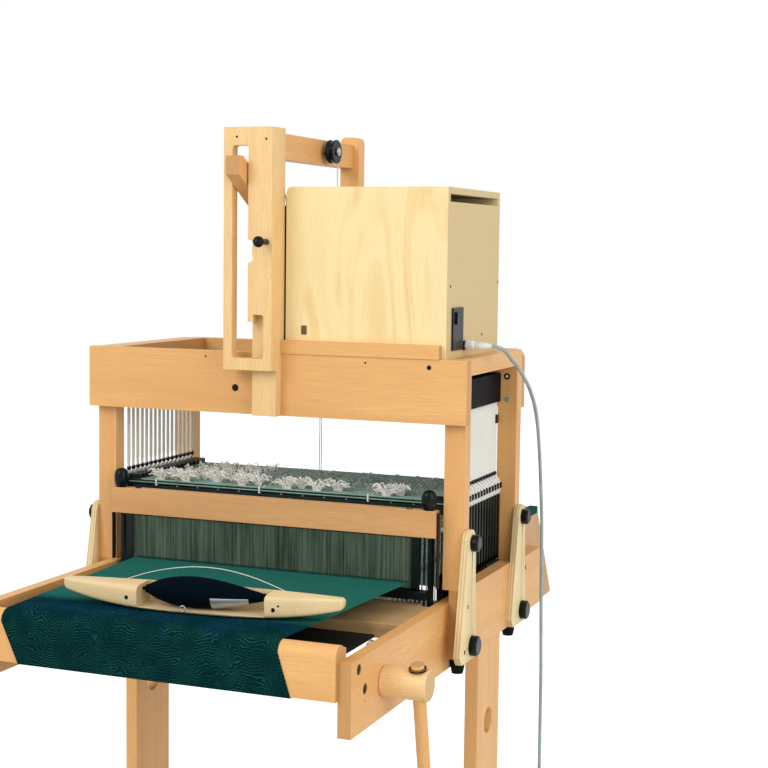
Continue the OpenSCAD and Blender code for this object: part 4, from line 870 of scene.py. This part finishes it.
def add_warp():
    """Threads through their shaft's heddle, and their ends over the back beam to the roll."""
    for i, y in enumerate(SHAFT_Y):
        body = f"shaft_{i + 1:02d}"
        front, rear = Shape(), Shape()
        for x in (thread_x(j) for j in range(i, THREADS, SHAFTS)):
            eye = (x, y, thread_z(y))
            front.tube([(x, FELL[0] - 1, WARP_FRONT), eye], THREAD_R, 5)
            rear.tube([eye, (x * BACK_SPREAD, BACK_Y, WARP_BACK)], THREAD_R, 5)
        for shape, name, pair, start, end in (
                (front, "warp_front", ("loom", body), at(0, FELL[0], thread_z(y)), at(0, y, thread_z(y))),
                (rear, "warp_rear", (body, "loom"), at(0, y, thread_z(y)), at(0, BACK_Y, thread_z(y)))):
            obj = shape.piece(f"{name}_{i + 1:02d}", "warp_yarn", None, "teal_warp", smooth=80)
            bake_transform(obj)
    over = Shape()
    roll_r = WARP_ROLL_D / 2 + 0.6
    dy, dz = BACK_EDGE[0] + BACK_R - WARP_BEAM[0], BACK_EDGE[1] - WARP_BEAM[1]
    leave = atan2(dz, dy) - acos(roll_r / hypot(dy, dz))
    edge = [(BACK_Y, WARP_BACK)] + arc(BACK_EDGE, BACK_R, range(90, -1, -18))
    roll = arc(WARP_BEAM, roll_r, (degrees(leave - back) for back in (0, 0.17, 0.35)))
    for x in map(thread_x, range(THREADS)):
        path = [(x * BACK_SPREAD, y, z) for y, z in edge]
        over.tube(path + [(x * ROLL_SPREAD, y, z) for y, z in roll], THREAD_R, 5)
    over.piece("warp_over_back", "warp_yarn", "loom", "teal_warp", smooth=80, node="warp")


add_warp()


# Shafts with their heddles, cords and hooks
SHAFT_HALF = 256
SHAFT_TOP = 820
SHAFT_LOW = 630
SHAFT_STEP = 710
SHAFT_LOW_HALF = 236
CAP_LEN = 18
BAR_HALF = SHAFT_HALF - 14
LOW_BAR_HALF = SHAFT_LOW_HALF - 9
HEDDLE_BAR_HALF = 238
PLATE_IN, PLATE_OUT, PLATE_TOP = 244, 253, 803
CLIP_IN, CLIP_OUT = 224, 242
CORD_X = 244
CORD_R = 1.15
CORD_TOP = 937.5
CORDS = ((CORD_X + 0.4, -3.3), (CORD_X + 1.2, -1.1), (CORD_X + 0.4, 1.1), (CORD_X + 1.2, 3.3))
LOOP_R = 1.6
LOOP = ((0.6, 10, 0.4), (4, 6, 1.5), (7.6, 1, 1.9), (8.4, -8, 2.0), (5.6, -16, 1.9), (1.5, -15.5, 1.3))
HEDDLE_R = 0.4
EYE_R = 1.3
HOOK_X = 72
HOOK_Y = [26 + 12 * i for i in range(SHAFTS)]
HOOK_LOW, HOOK_TOP = 941.8, 1130
HOOK_R = 1.5
NOSE_X, NOSE_Z = 66, (1058, 1064)


def add_bars(body, y):
    bars = Shape()
    bars.box((-BAR_HALF, y - 1.3, SHAFT_TOP - 7.5), (BAR_HALF, y + 1.3, SHAFT_TOP - 2))
    bars.box((-HEDDLE_BAR_HALF, y - 1, SHAFT_TOP - 20), (HEDDLE_BAR_HALF, y + 1, SHAFT_TOP - 9))
    bars.box((-LOW_BAR_HALF, y - 2, SHAFT_LOW + 0.5), (LOW_BAR_HALF, y + 2, SHAFT_LOW + 8))
    bars.piece(f"{body}_bars", "dark_bar", body, "black_metal", bevel=0.5, node=body)
    # Painted highlight: these light rods stand for the bright glints along the dark top bars.
    rods = Shape()
    for dy, down, r in ((-0.2, 1.4, 1.35), (-2.4, 5.2, 0.9), (2.4, 4.6, 0.8)):
        z = SHAFT_TOP - down
        rods.tube([(-BAR_HALF, y + dy, z), (BAR_HALF, y + dy, z)], r, 8)
    rods.piece(f"{body}_rods", "bar_highlight_and_bolt_grey", body, "black_metal")
    ends = Shape()
    for s in (-1, 1):
        for x0, x1, z0, z1, half in ((SHAFT_HALF - CAP_LEN, SHAFT_HALF, SHAFT_TOP - 8, SHAFT_TOP, 2.6),
                                     (CORD_X - 3.5, CORD_X + 3.5, PLATE_TOP - 8, SHAFT_TOP - 6, 2.2),
                                     (PLATE_IN, PLATE_OUT, SHAFT_STEP, PLATE_TOP, 3),
                                     (LOW_BAR_HALF, PLATE_OUT, SHAFT_STEP, SHAFT_STEP + 8, 3),
                                     (LOW_BAR_HALF, SHAFT_LOW_HALF, SHAFT_LOW, SHAFT_STEP + 8, 3),
                                     (CLIP_IN, CLIP_OUT, SHAFT_TOP - 1, SHAFT_TOP + 6, 5.2)):
            ends.side_box(s, (x0, y - half, z0), (x1, y + half, z1))
        ends.lathe([(AXIS, -3.6), (2.2, -3.1), (3.3, -1.2), (3.3, 1.2), (2.2, 3.1), (AXIS, 3.6)],
                   Matrix.Translation((s * (CORD_X + 0.6), y, SHAFT_TOP + 13)), 10)
    ends.piece(f"{body}_ends", "black_metal", body, bevel=0.6)


def add_heddles(i, body, y):
    """Two strands per thread, apart at its eye; every fifth has a tie round the top bar."""
    heddles = Shape()
    z = thread_z(y)
    for j in range(i, THREADS, SHAFTS):
        x = thread_x(j)
        for s in (-1, 1):
            near, far = x + s * HEDDLE_R, x + s * EYE_R
            heddles.tube([(near, y, SHAFT_TOP - 7), (near, y, z + 9), (far, y, z + 4),
                          (far, y, z - 4), (near, y, z - 9), (near, y, SHAFT_LOW + 7)], HEDDLE_R, 4)
        heddles.box((x - 0.7, y - 2.6, SHAFT_LOW - 0.5), (x + 0.7, y + 2.6, SHAFT_LOW + 9))
        if (j * 7 + i * 3) % 5 == 0:
            heddles.box((x - 0.9, y - 3.2, SHAFT_TOP - 9), (x + 0.9, y + 2.6, SHAFT_TOP + 0.6))
    heddles.piece(f"{body}_heddles", "white_cord", body, smooth=70)


def add_lift_cords(body, y):
    """Lift cords up the channels, and the loops below their knots."""
    cords = Shape()
    for s in (-1, 1):
        for x, dy in CORDS:
            cords.tube([(s * x, y + dy * 0.4, SHAFT_TOP + 10), (s * x, y + dy, SHAFT_TOP + 26),
                        (s * x, y + dy, CORD_TOP)], CORD_R, 6)
        for side in (-1.6, 1.8):
            cords.tube(smooth_path([(s * (CORD_X + out), y + side * spread, SHAFT_TOP + up)
                                    for out, up, spread in LOOP], 3), LOOP_R, 6)
    cords.piece(f"{body}_cords", "white_cord", body, smooth=70)


def add_hook(body, y):
    hook = Shape()
    hook.tube([(HOOK_X, y, HOOK_LOW), (HOOK_X, y, HOOK_TOP - 1), (HOOK_X, y, HOOK_TOP)],
              [HOOK_R, HOOK_R, HOOK_R - 0.5], 10)
    hook.box((NOSE_X, y - 1, NOSE_Z[0]), (HOOK_X, y + 1, NOSE_Z[1]))
    hook.piece(f"{body}_hook", "steel", body, bevel=0.2)


for i, y in enumerate(SHAFT_Y):
    body = f"shaft_{i + 1:02d}"
    add_bars(body, y)
    add_heddles(i, body, y)
    add_lift_cords(body, y)
    add_hook(body, HOOK_Y[i])


FRONT_TUFTS = (-192, -178, -152, -110, -64, -44, 6, 22, 50, 76, 152, 168)
WHITE_TUFTS = (-188, -62)
GREY_TUFTS = ((-70, -20), (-12, 34), (48, 96), (112, 186))
FRONT_SHAFTS, TUFTED_SHAFTS, FULL_SHAFTS = 2, 11, 9
TUFT_R = 0.72


def curl(shape, rng, x, y, reach, tall):
    """One loose thread end, curling away from the bar."""
    lean = rng.uniform(-reach, reach)
    away = rng.uniform(-reach, reach) * 0.45
    rise = rng.uniform(0.35, 1) * tall
    path = [(x, y, SHAFT_TOP - 2)]
    path += [(x + lean * a, y + away * b, SHAFT_TOP + rise * c)
             for a, b, c in ((0.25, 0.3, 0.55), (0.65, 0.7, 1), (1, 1, 0.82))]
    shape.tube(smooth_path(path, 2), TUFT_R, 4)


def add_tufts():
    """Loose ends of the heddles, standing up from the shafts' top bars in bunches."""
    rng = random.Random(7)
    for i in range(TUFTED_SHAFTS):
        y = SHAFT_Y[i]
        body = f"shaft_{i + 1:02d}"
        white, grey = Shape(), Shape()
        if i < FRONT_SHAFTS:
            for x in FRONT_TUFTS[i::FRONT_SHAFTS]:
                for _ in range(30):
                    curl(white, rng, x + rng.uniform(-5, 5), y, 19, 17)
        else:
            for _ in range(40 if i < FULL_SHAFTS else 14):
                curl(white, rng, rng.uniform(*WHITE_TUFTS), y, 13, 15)
            for low, high in GREY_TUFTS:
                for _ in range(int((high - low) / 3.6)):
                    curl(grey, rng, rng.uniform(low, high), y, 10, 11)
            grey.piece(f"{body}_ends_grey", "grey_cord", body, "white_cord", smooth=70)
        white.piece(f"{body}_ends_white", "white_cord", body, smooth=70)


add_tufts()


# Reed, and the plugs in the rail above it
REED_HALF = 219
REED_END = 11
REED_LOW, REED_HIGH = 702, 783
REED_HALF_T = 3
BAULK_H = 7
WIRES = 380
WIRE_T, WIRE_W = 0.44, 3
PLUG_X, PLUG_Y, PLUG_R = 203, 3, 4.6


def add_reed():
    baulks = Shape()
    t = REED_HALF_T
    for z in (REED_LOW, REED_HIGH - BAULK_H):
        baulks.box((-REED_HALF, -t, z), (REED_HALF, t, z + BAULK_H))
    for s in (-1, 1):
        baulks.side_box(s, (REED_HALF - REED_END, -t, REED_LOW), (REED_HALF, t, REED_HIGH))
    plugs = Shape()
    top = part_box("beater_rail")[1].z * 1000 - ORIGIN.z
    for x in (-PLUG_X, PLUG_X):
        plugs.lathe([(AXIS, -2), (PLUG_R, -2), (PLUG_R, 0.3), (PLUG_R - 0.4, 0.6), (AXIS, 0.6)],
                    Matrix.Translation((x, PLUG_Y, top)), 24)
    plugs.piece("rail_plugs", "black_plastic", "beater")
    baulks.piece("reed_baulks", "black_metal", "beater", "reed", bevel=0.6, node="reed")
    wires = Shape()
    reach = REED_HALF - REED_END - 0.6
    for k in range(WIRES):
        x = -reach + 2 * reach * k / (WIRES - 1)
        wires.box((x - WIRE_T / 2, -WIRE_W / 2, REED_LOW + 5), (x + WIRE_T / 2, WIRE_W / 2, REED_HIGH - 5))
    wires.piece("reed_wires", "reed_wire", "beater", "reed")


add_reed()


# Shuttle and its bobbin. Places on the shuttle are measured from the middle of its underside
CLOTH_SLOPE = (FELL[1] - BREAST_TOP - GAP) / (FELL[0] - BREAST_Y - BREAST_R)
SHUTTLE_X, SHUTTLE_Y = 25.6, -239
SHUTTLE_TURN = 3.98
SHUTTLE_LEN, SHUTTLE_W, SHUTTLE_H = 370, 48, 30
TIP_W, TIP_H = 12, 13
NOSE = 0.035
SQUARE = 0.38
CAVITY = (-76, 90)
CAVITY_BACK, CAVITY_FLOOR, CAVITY_R = 16, 4, 9
EYES = ((-90, SHUTTLE_H / 2, 2.6), (100.5, SHUTTLE_H / 2 - 1, 2.8), (107, SHUTTLE_H / 2 + 4, 1.4))
RING_PLACE = (-14.4, -23.6, 7.5)
RING_R, RING_WIRE = 3.6, 0.7
PIRN_D, PIRN_LEN, PIRN_X, PIRN_Y = 38, 158, 7, -3
PIRN_Z = CAVITY_FLOOR + PIRN_D / 2 + 0.6
PIRN_TIP, PIN_R = 5, 2
LABEL_X, LABEL_LEN = 20, 46
LABEL_ARC = 62


def cloth_z(y, lift):
    """Height above the floor at lift over the underside of the woven cloth."""
    return BREAST_TOP + GAP + lift + CLOTH_SLOPE * (y - BREAST_Y - BREAST_R)


ON_CLOTH = (Matrix.Translation((SHUTTLE_X, SHUTTLE_Y, cloth_z(SHUTTLE_Y, CLOTH_T + GAP)))
            @ Matrix.Rotation(atan(CLOTH_SLOPE), 4, "X")
            @ Matrix.Rotation(radians(SHUTTLE_TURN), 4, "Z"))


def shuttle_half(s):
    """Half the shuttle's width, s from -1 at one tip to 1 at the other."""
    return TIP_W / 2 + (SHUTTLE_W - TIP_W) / 2 * (1 - abs(s) ** 2.4)


def shuttle_ring(s):
    """Section of the shuttle, a rounded rectangle that closes over the last NOSE of its half length."""
    end = sqrt(max(0.0, 1 - max(0.0, (abs(s) - 1 + NOSE) / NOSE) ** 2))
    low = (SHUTTLE_H - TIP_H) * abs(s) ** 3
    wide = shuttle_half(s) * max(end, 0.08)
    tall = (SHUTTLE_H - low) / 2 * max(end, 0.12)
    mid = min((low + SHUTTLE_H) / 2 + (1 - end) * 1.5, SHUTTLE_H - tall)
    ring = []
    for k in range(32):
        a = tau * (k + 0.5) / 32
        c, q = (copysign(abs(v) ** SQUARE, v) for v in (cos(a), sin(a)))
        ring.append((s * SHUTTLE_LEN / 2, wide * c, mid + tall * q))
    return ring


def add_shuttle():
    half = 42
    body = Shape()
    body.loft([shuttle_ring(sin(pi / 2 * i / half)) for i in range(-half, half + 1)], ON_CLOTH)
    obj = body.piece("shuttle_body", "shuttle_wood", "shuttle", "pale_wood", node="shuttle")
    hole = Shape()
    r = CAVITY_R
    left, right = CAVITY
    outline = arc((right - r, CAVITY_BACK - r), r, range(0, 91, 15))
    outline += arc((left + r, CAVITY_BACK - r), r, range(90, 181, 15))
    outline += [(left, -SHUTTLE_W), (right, -SHUTTLE_W)]
    hole.loft([[(x, y, z) for x, y in outline] for z in (CAVITY_FLOOR, SHUTTLE_H + 1)], ON_CLOTH)
    cut(obj, hole.piece("cavity_cutter", "shuttle_wood", "shuttle", "pale_wood"))
    # Painted shade: the eyes are black discs for the dark inside each eye hole.
    eye_shade = Shape()
    for x, z, r in EYES:
        y = -shuttle_half(2 * x / SHUTTLE_LEN)
        eye_shade.lathe([(AXIS, -0.15), (r, -0.15), (r, 3), (AXIS, 3)], ON_CLOTH @ lay_y(x, y, z), 20)
    eye_shade.piece("shuttle_eyes", "black_plastic", "shuttle")
    ring = Shape()
    x, y, z = RING_PLACE
    ring.loft([[(x + (RING_R + RING_WIRE * cos(b)) * cos(a), y + RING_WIRE * sin(b),
                 z + (RING_R + RING_WIRE * cos(b)) * sin(a)) for b in turns(8)]
               for a in turns(24)], ON_CLOTH, closed=True)
    ring.piece("shuttle_ring", "steel", "shuttle", smooth=60)


def pirn_radius(s):
    """Radius of the wound yarn, s from 0 at one end to 1 at the other."""
    return PIRN_TIP + (PIRN_D / 2 - PIRN_TIP) * sin(pi * s ** 0.75)


def add_pirn():
    shape = Shape()
    reach, core, wound = PIRN_LEN / 2, (CAVITY[1] - CAVITY[0]) / 2, PIRN_LEN - 8
    profile = [(AXIS, -core), (PIN_R, -core), (PIN_R, -reach), (PIRN_TIP, -reach + 1)]
    steps = 90
    for k in range(1, steps):
        profile.append((pirn_radius(k / steps) - 0.35 * (k % 2), (k / steps - 0.5) * wound))
    profile += [(PIRN_TIP, reach - 1), (PIN_R, reach), (PIN_R, core), (AXIS, core)]
    shape.lathe(profile, ON_CLOTH @ lay_x(PIRN_X, PIRN_Y, PIRN_Z), 48)
    shape.piece("pirn_yarn", "navy_yarn", "shuttle", smooth=60, node="pirn")
    label = Shape()
    rings = []
    for k in range(9):
        x = LABEL_X + LABEL_LEN * k / 8
        r = pirn_radius((x - PIRN_X) / wound + 0.5) + 0.1
        ring = []
        for rr, angles in ((r + 0.25, range(-LABEL_ARC, 1, 8)), (r, range(0, -LABEL_ARC - 1, -8))):
            for a in (radians(angle - 2) for angle in angles):
                ring.append((x, PIRN_Y - rr * cos(a), PIRN_Z + rr * sin(a) - 1))
        rings.append(ring)
    label.loft(rings, ON_CLOTH)
    label.piece("pirn_label", "silver_paper", "shuttle", "white_plastic", smooth=50)


WEFT_D = 1.2
WEFT_ROUTE = (
    (-118, -235), (-131, -214), (-141, -182), (-144, -150), (-139, -112), (-130, -80), (-112, -52),
    (-85, -36), (-46, -38), (3, -60), (54, -95), (93, -127), (114, -155), (124, -182), (118, -211))


def add_weft():
    """The thread that runs from the shuttle over the cloth in a loop and back behind the shuttle."""
    route = [(x, y, cloth_z(y, CLOTH_T + WEFT_D / 2 + 0.1)) for x, y in WEFT_ROUTE]
    thread = add_curve("weft_thread", smooth_path(route), WEFT_D, "white_cord", "shuttle")


add_shuttle()
add_pirn()
add_weft()


# Cords on the castle
GUIDE_X, GUIDE_Y, GUIDE_Z = 239.7, (40, 241), 939
GUIDE_R = 3
PULL_Z = 942.8
ROPE_R = 1.0
HOOK_GAP = 1.8
MIDDLE_X = 28
LONG_ROPE = (30, 156.5)
LONG_ROPE_Z = (1232, 1279)
SHORT_ROPE = [(14, 21, 1207), (14, 21, 1212), (13, 20.6, 1219), (10.5, 19.6, 1226), (7.6, 17.8, 1231.5),
              (5.6, 15.4, 1234.4), (5, 13, 1235), (5, 6.8, 1235)]


def add_pull_cords():
    rods = Shape()
    for s in (-1, 1):
        rods.tube([(s * GUIDE_X, y, GUIDE_Z) for y in GUIDE_Y], GUIDE_R, 16)
    rods.piece("guide_rods", "steel", "loom")
    cords = Shape()
    for shaft_y, hook_y in zip(SHAFT_Y, HOOK_Y):
        for s in (-1, 1):
            cords.tube([(s * GUIDE_X, shaft_y, PULL_Z), (HOOK_X + s * HOOK_GAP, hook_y, PULL_Z)], ROPE_R, 8)
    cords.piece("cross_cords", "white_cord", "loom", smooth=70, node="pull_cords")
    ropes = Shape()
    low, high = LONG_ROPE_Z
    ropes.tube([(*LONG_ROPE, low), (*LONG_ROPE, high)], ROPE_R, 8)
    ropes.lathe([(3, -2), (3, 0), (4.5, 0), (4.5, 1.5), (1.4, 1.5), (1.4, -2)],
                Matrix.Translation((*LONG_ROPE, low)), 24, closed=True)
    ropes.tube(smooth_path(SHORT_ROPE, 3), ROPE_R, 8)
    ropes.piece("lift_ropes", "white_cord", "loom", smooth=70)


def add_middle_cords():
    """Two thin grey cords that hang in the middle, from the cross cords to the rearmost shaft."""
    shape = Shape()
    y, body = SHAFT_Y[-1], f"shaft_{SHAFTS:02d}"
    top, low = PULL_Z - 1, SHAFT_TOP - 1
    for x in (-MIDDLE_X - 1.5, -MIDDLE_X + 1.5):
        shape.tube([(x, y, top), (x * 0.98, y, (top + low) / 2), (x, y, low)], 0.6, 5)
    obj = shape.piece("middle_cords", "grey_cord", None, "white_cord", smooth=70)
    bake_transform(obj)


add_pull_cords()
add_middle_cords()


# Small things fixed to the loom. A row of discs has places on one face and a radius for each
RAIL_HOLES = ((-51, 961, 4.9), (228, 999, 3.15), (-96, 1002, 1.4), (139, 1002, 1.4))
ARM_HOLES = ((-293, 677, 6.4), (-274, 650, 6.4), (-274, 636, 1.4))
TOWER_SCREWS = ((-35, 1296, 1.6), (8, 1293, 1.6))
LEVER_SCREW = ((-30.15, 1259, 2.2),)
BOX_SCREWS = ((22, 1104, 2.2), (226, 1107, 2.2), (157, 1036, 2.2))
HOLE_DEPTH = 0.8
TOWER_FACE, LEVER_FACE, BOX_FACE = -30, -37, 248
ARM_BOTTOM = 254.2
SLOTS_X = (282.6, 283.3)
SLOTS = ((11.2, 688.2), (0.1, 630.5), (277, 691.2))
SLOT_W, SLOT_H = 3.6, 5.2
POST_CLIPS = (((245.8, 234, 905), (247.6, 243.9, 917)), ((246.5, 37.1, 977), (252, 46, 986)))
BOLT = (259, 244, 972)
BOLT_BELOW = 33
BOX_TAB = ((43, 7.2, 1036), (51, 8.3, 1048))
RING = [(8.1, -1.6), (10.2, -1.6), (10.7, -1), (10.7, 1), (10.2, 1.6), (8.1, 1.6)]
BAR_RINGS = (20.3, -197.7)
COVER_X = (226.8, 239.1)
COVER_Y = (411, 486.5)
COVER_T, COVER_DROP = 0.6, 10


def disc(shape, place, way, r, out=0.3):
    """A low round head that stands out of a face by out. way is the axis that the face is square to."""
    turn = {"y": lay_y(*place), "x": lay_x(*place) @ Matrix.Rotation(pi, 4, "Y")}[way]
    shape.lathe([(AXIS, -out), (r - 0.3, -out), (r, -out + 0.3), (r, 3), (AXIS, 3)], turn, 24)


def add_fittings():
    """Screws, bolts, plugs, rubber rings and the little tab, and black discs and slots that are painted
    shade for the dark insides of holes and slots.
    """
    dark, bright, grey = Shape(), Shape(), Shape()
    # Painted shade: the discs at the rail and arm holes are black for the holes' dark insides.
    for rows, y, out in ((RAIL_HOLES, HOLE_DEPTH, 0), (TOWER_SCREWS, TOWER_FACE, 0.3),
                         (LEVER_SCREW, LEVER_FACE, 0.3)):
        for x, z, r in rows:
            disc(dark, (x, y, z), "y", r, out)
    for rows, x, out in ((ARM_HOLES, ARM_BOTTOM, 0), (BOX_SCREWS, BOX_FACE, 0.3)):
        for y, z, r in rows:
            disc(dark, (x, y, z), "x", r, out)
    # Painted shade: the slots are thin black boxes for their dark insides.
    for y, z in SLOTS:
        dark.box((SLOTS_X[0], y - SLOT_W / 2, z - SLOT_H / 2), (SLOTS_X[1], y + SLOT_W / 2, z + SLOT_H / 2))
    dark.lathe([(2.2, -0.6), (4.6, -0.6), (4.6, 0), (2.2, 0)], lay_y(*BOLT), 24, closed=True)
    for clip in POST_CLIPS:
        dark.box(*clip)
    dark.piece("dark_fittings_and_hole_shade", "black_plastic", "loom")
    disc(bright, BOLT, "y", 2.2, 0.2)
    bright.piece("bolt_end", "white_plastic", "loom")
    disc(grey, (BOLT[0], BOLT[1], BOLT[2] - BOLT_BELOW), "y", 4.1, 0.4)
    grey.piece("bolt_head", "bar_highlight_and_bolt_grey", "loom", "steel")
    tab = Shape()
    tab.box(*BOX_TAB)
    tab.piece("box_tab", "brown_tab", "loom", "black_plastic", bevel=1.0)
    rings = Shape()
    for z in BAR_RINGS:
        rings.lathe([(r, z + h) for r, h in RING], ON_BAR, 40, closed=True)
    rings.piece("bar_rings", "rubber", "turning_bar")


def add_cheek_covers():
    """Teal strips over the upper edges of the rear cheeks, hanging a little down outside."""
    x0, x1 = COVER_X
    y0, y1 = COVER_Y
    t, top, low = COVER_T, BACK_TOP + 0.05, BACK_TOP - COVER_DROP
    outline = [(x0, top), (x0, top + t), (x1 + t, top + t), (x1 + t, low), (x1, low), (x1, top)]
    count = 14
    for s, side in ((-1, "left"), (1, "right")):
        shape = Shape()
        shape.loft([[(s * x, y0 + (y1 - y0) * k / count, z) for x, z in outline] for k in range(count + 1)])
        obj = shape.piece(f"cheek_cover_{side}", "teal_felt", "loom", "teal_cloth", smooth=20)


add_fittings()
add_cheek_covers()


# Floor, light and background
AMBIENT = 0.80
FLOOR_GLOW = 0.66
FLOOR_HALF = 8
FLOOR_TONE = 0.60
LAMPS = (("key", (-1.6, -3.2, 3.0), 66, 2.2), ("fill", (3.0, -1.6, 1.9), 46, 2.4))
LAMP_AIM = Vector((0, 0, 0.85))


def backdrop_strength(tree, other, seen):
    """seen for the rays that see the background, other for those that light the object."""
    paths = tree.nodes.new("ShaderNodeLightPath")
    value = paths.outputs["Is Camera Ray"]
    for name in ("Is Glossy Ray", "Is Transmission Ray"):
        more = tree.nodes.new("ShaderNodeMath")
        more.operation = "MAXIMUM"
        tree.links.new(value, more.inputs[0])
        tree.links.new(paths.outputs[name], more.inputs[1])
        value = more.outputs[0]
    spread = tree.nodes.new("ShaderNodeMapRange")
    spread.inputs["To Min"].default_value = other
    spread.inputs["To Max"].default_value = seen
    tree.links.new(value, spread.inputs[0])
    return spread.outputs[0]


def add_world():
    world = bpy.data.worlds.new("studio")
    world.use_nodes = True
    bpy.context.scene.world = world
    tree = world.node_tree
    background = tree.nodes["Background"]
    background.inputs["Color"].default_value = (1, 1, 1, 1)
    tree.links.new(backdrop_strength(tree, AMBIENT, 1.0), background.inputs["Strength"])


def add_floor():
    mesh = bpy.data.meshes.new("floor")
    half = FLOOR_HALF
    corners = [(-half, -half, 0), (half, -half, 0), (half, half, 0), (-half, half, 0)]
    mesh.from_pydata(corners, [], [(0, 1, 2, 3)])
    floor = new_object("floor", mesh)
    floor.location = (0, 0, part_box("stand_feet")[0].z - 0.0004)
    material = bpy.data.materials.new("floor")
    material.use_nodes = True
    tree = material.node_tree
    shader = tree.nodes["Principled BSDF"]
    shader.inputs["Base Color"].default_value = (FLOOR_TONE, FLOOR_TONE, FLOOR_TONE, 1)
    shader.inputs["Roughness"].default_value = 0.9
    shader.inputs["Specular IOR Level"].default_value = 0.0
    shader.inputs["Emission Color"].default_value = (1, 1, 1, 1)
    tree.links.new(backdrop_strength(tree, 0.0, FLOOR_GLOW), shader.inputs["Emission Strength"])
    mesh.materials.append(material)


def add_lamps():
    for name, place, power, size in LAMPS:
        data = bpy.data.lights.new(name, "AREA")
        data.energy = power
        data.size = size
        lamp = new_object(name, data)
        lamp.location = place
        lamp.rotation_euler = (LAMP_AIM - Vector(place)).to_track_quat("-Z", "Y").to_euler()


add_world()
add_floor()
add_lamps()
bpy.context.scene.view_settings.view_transform = "Standard"
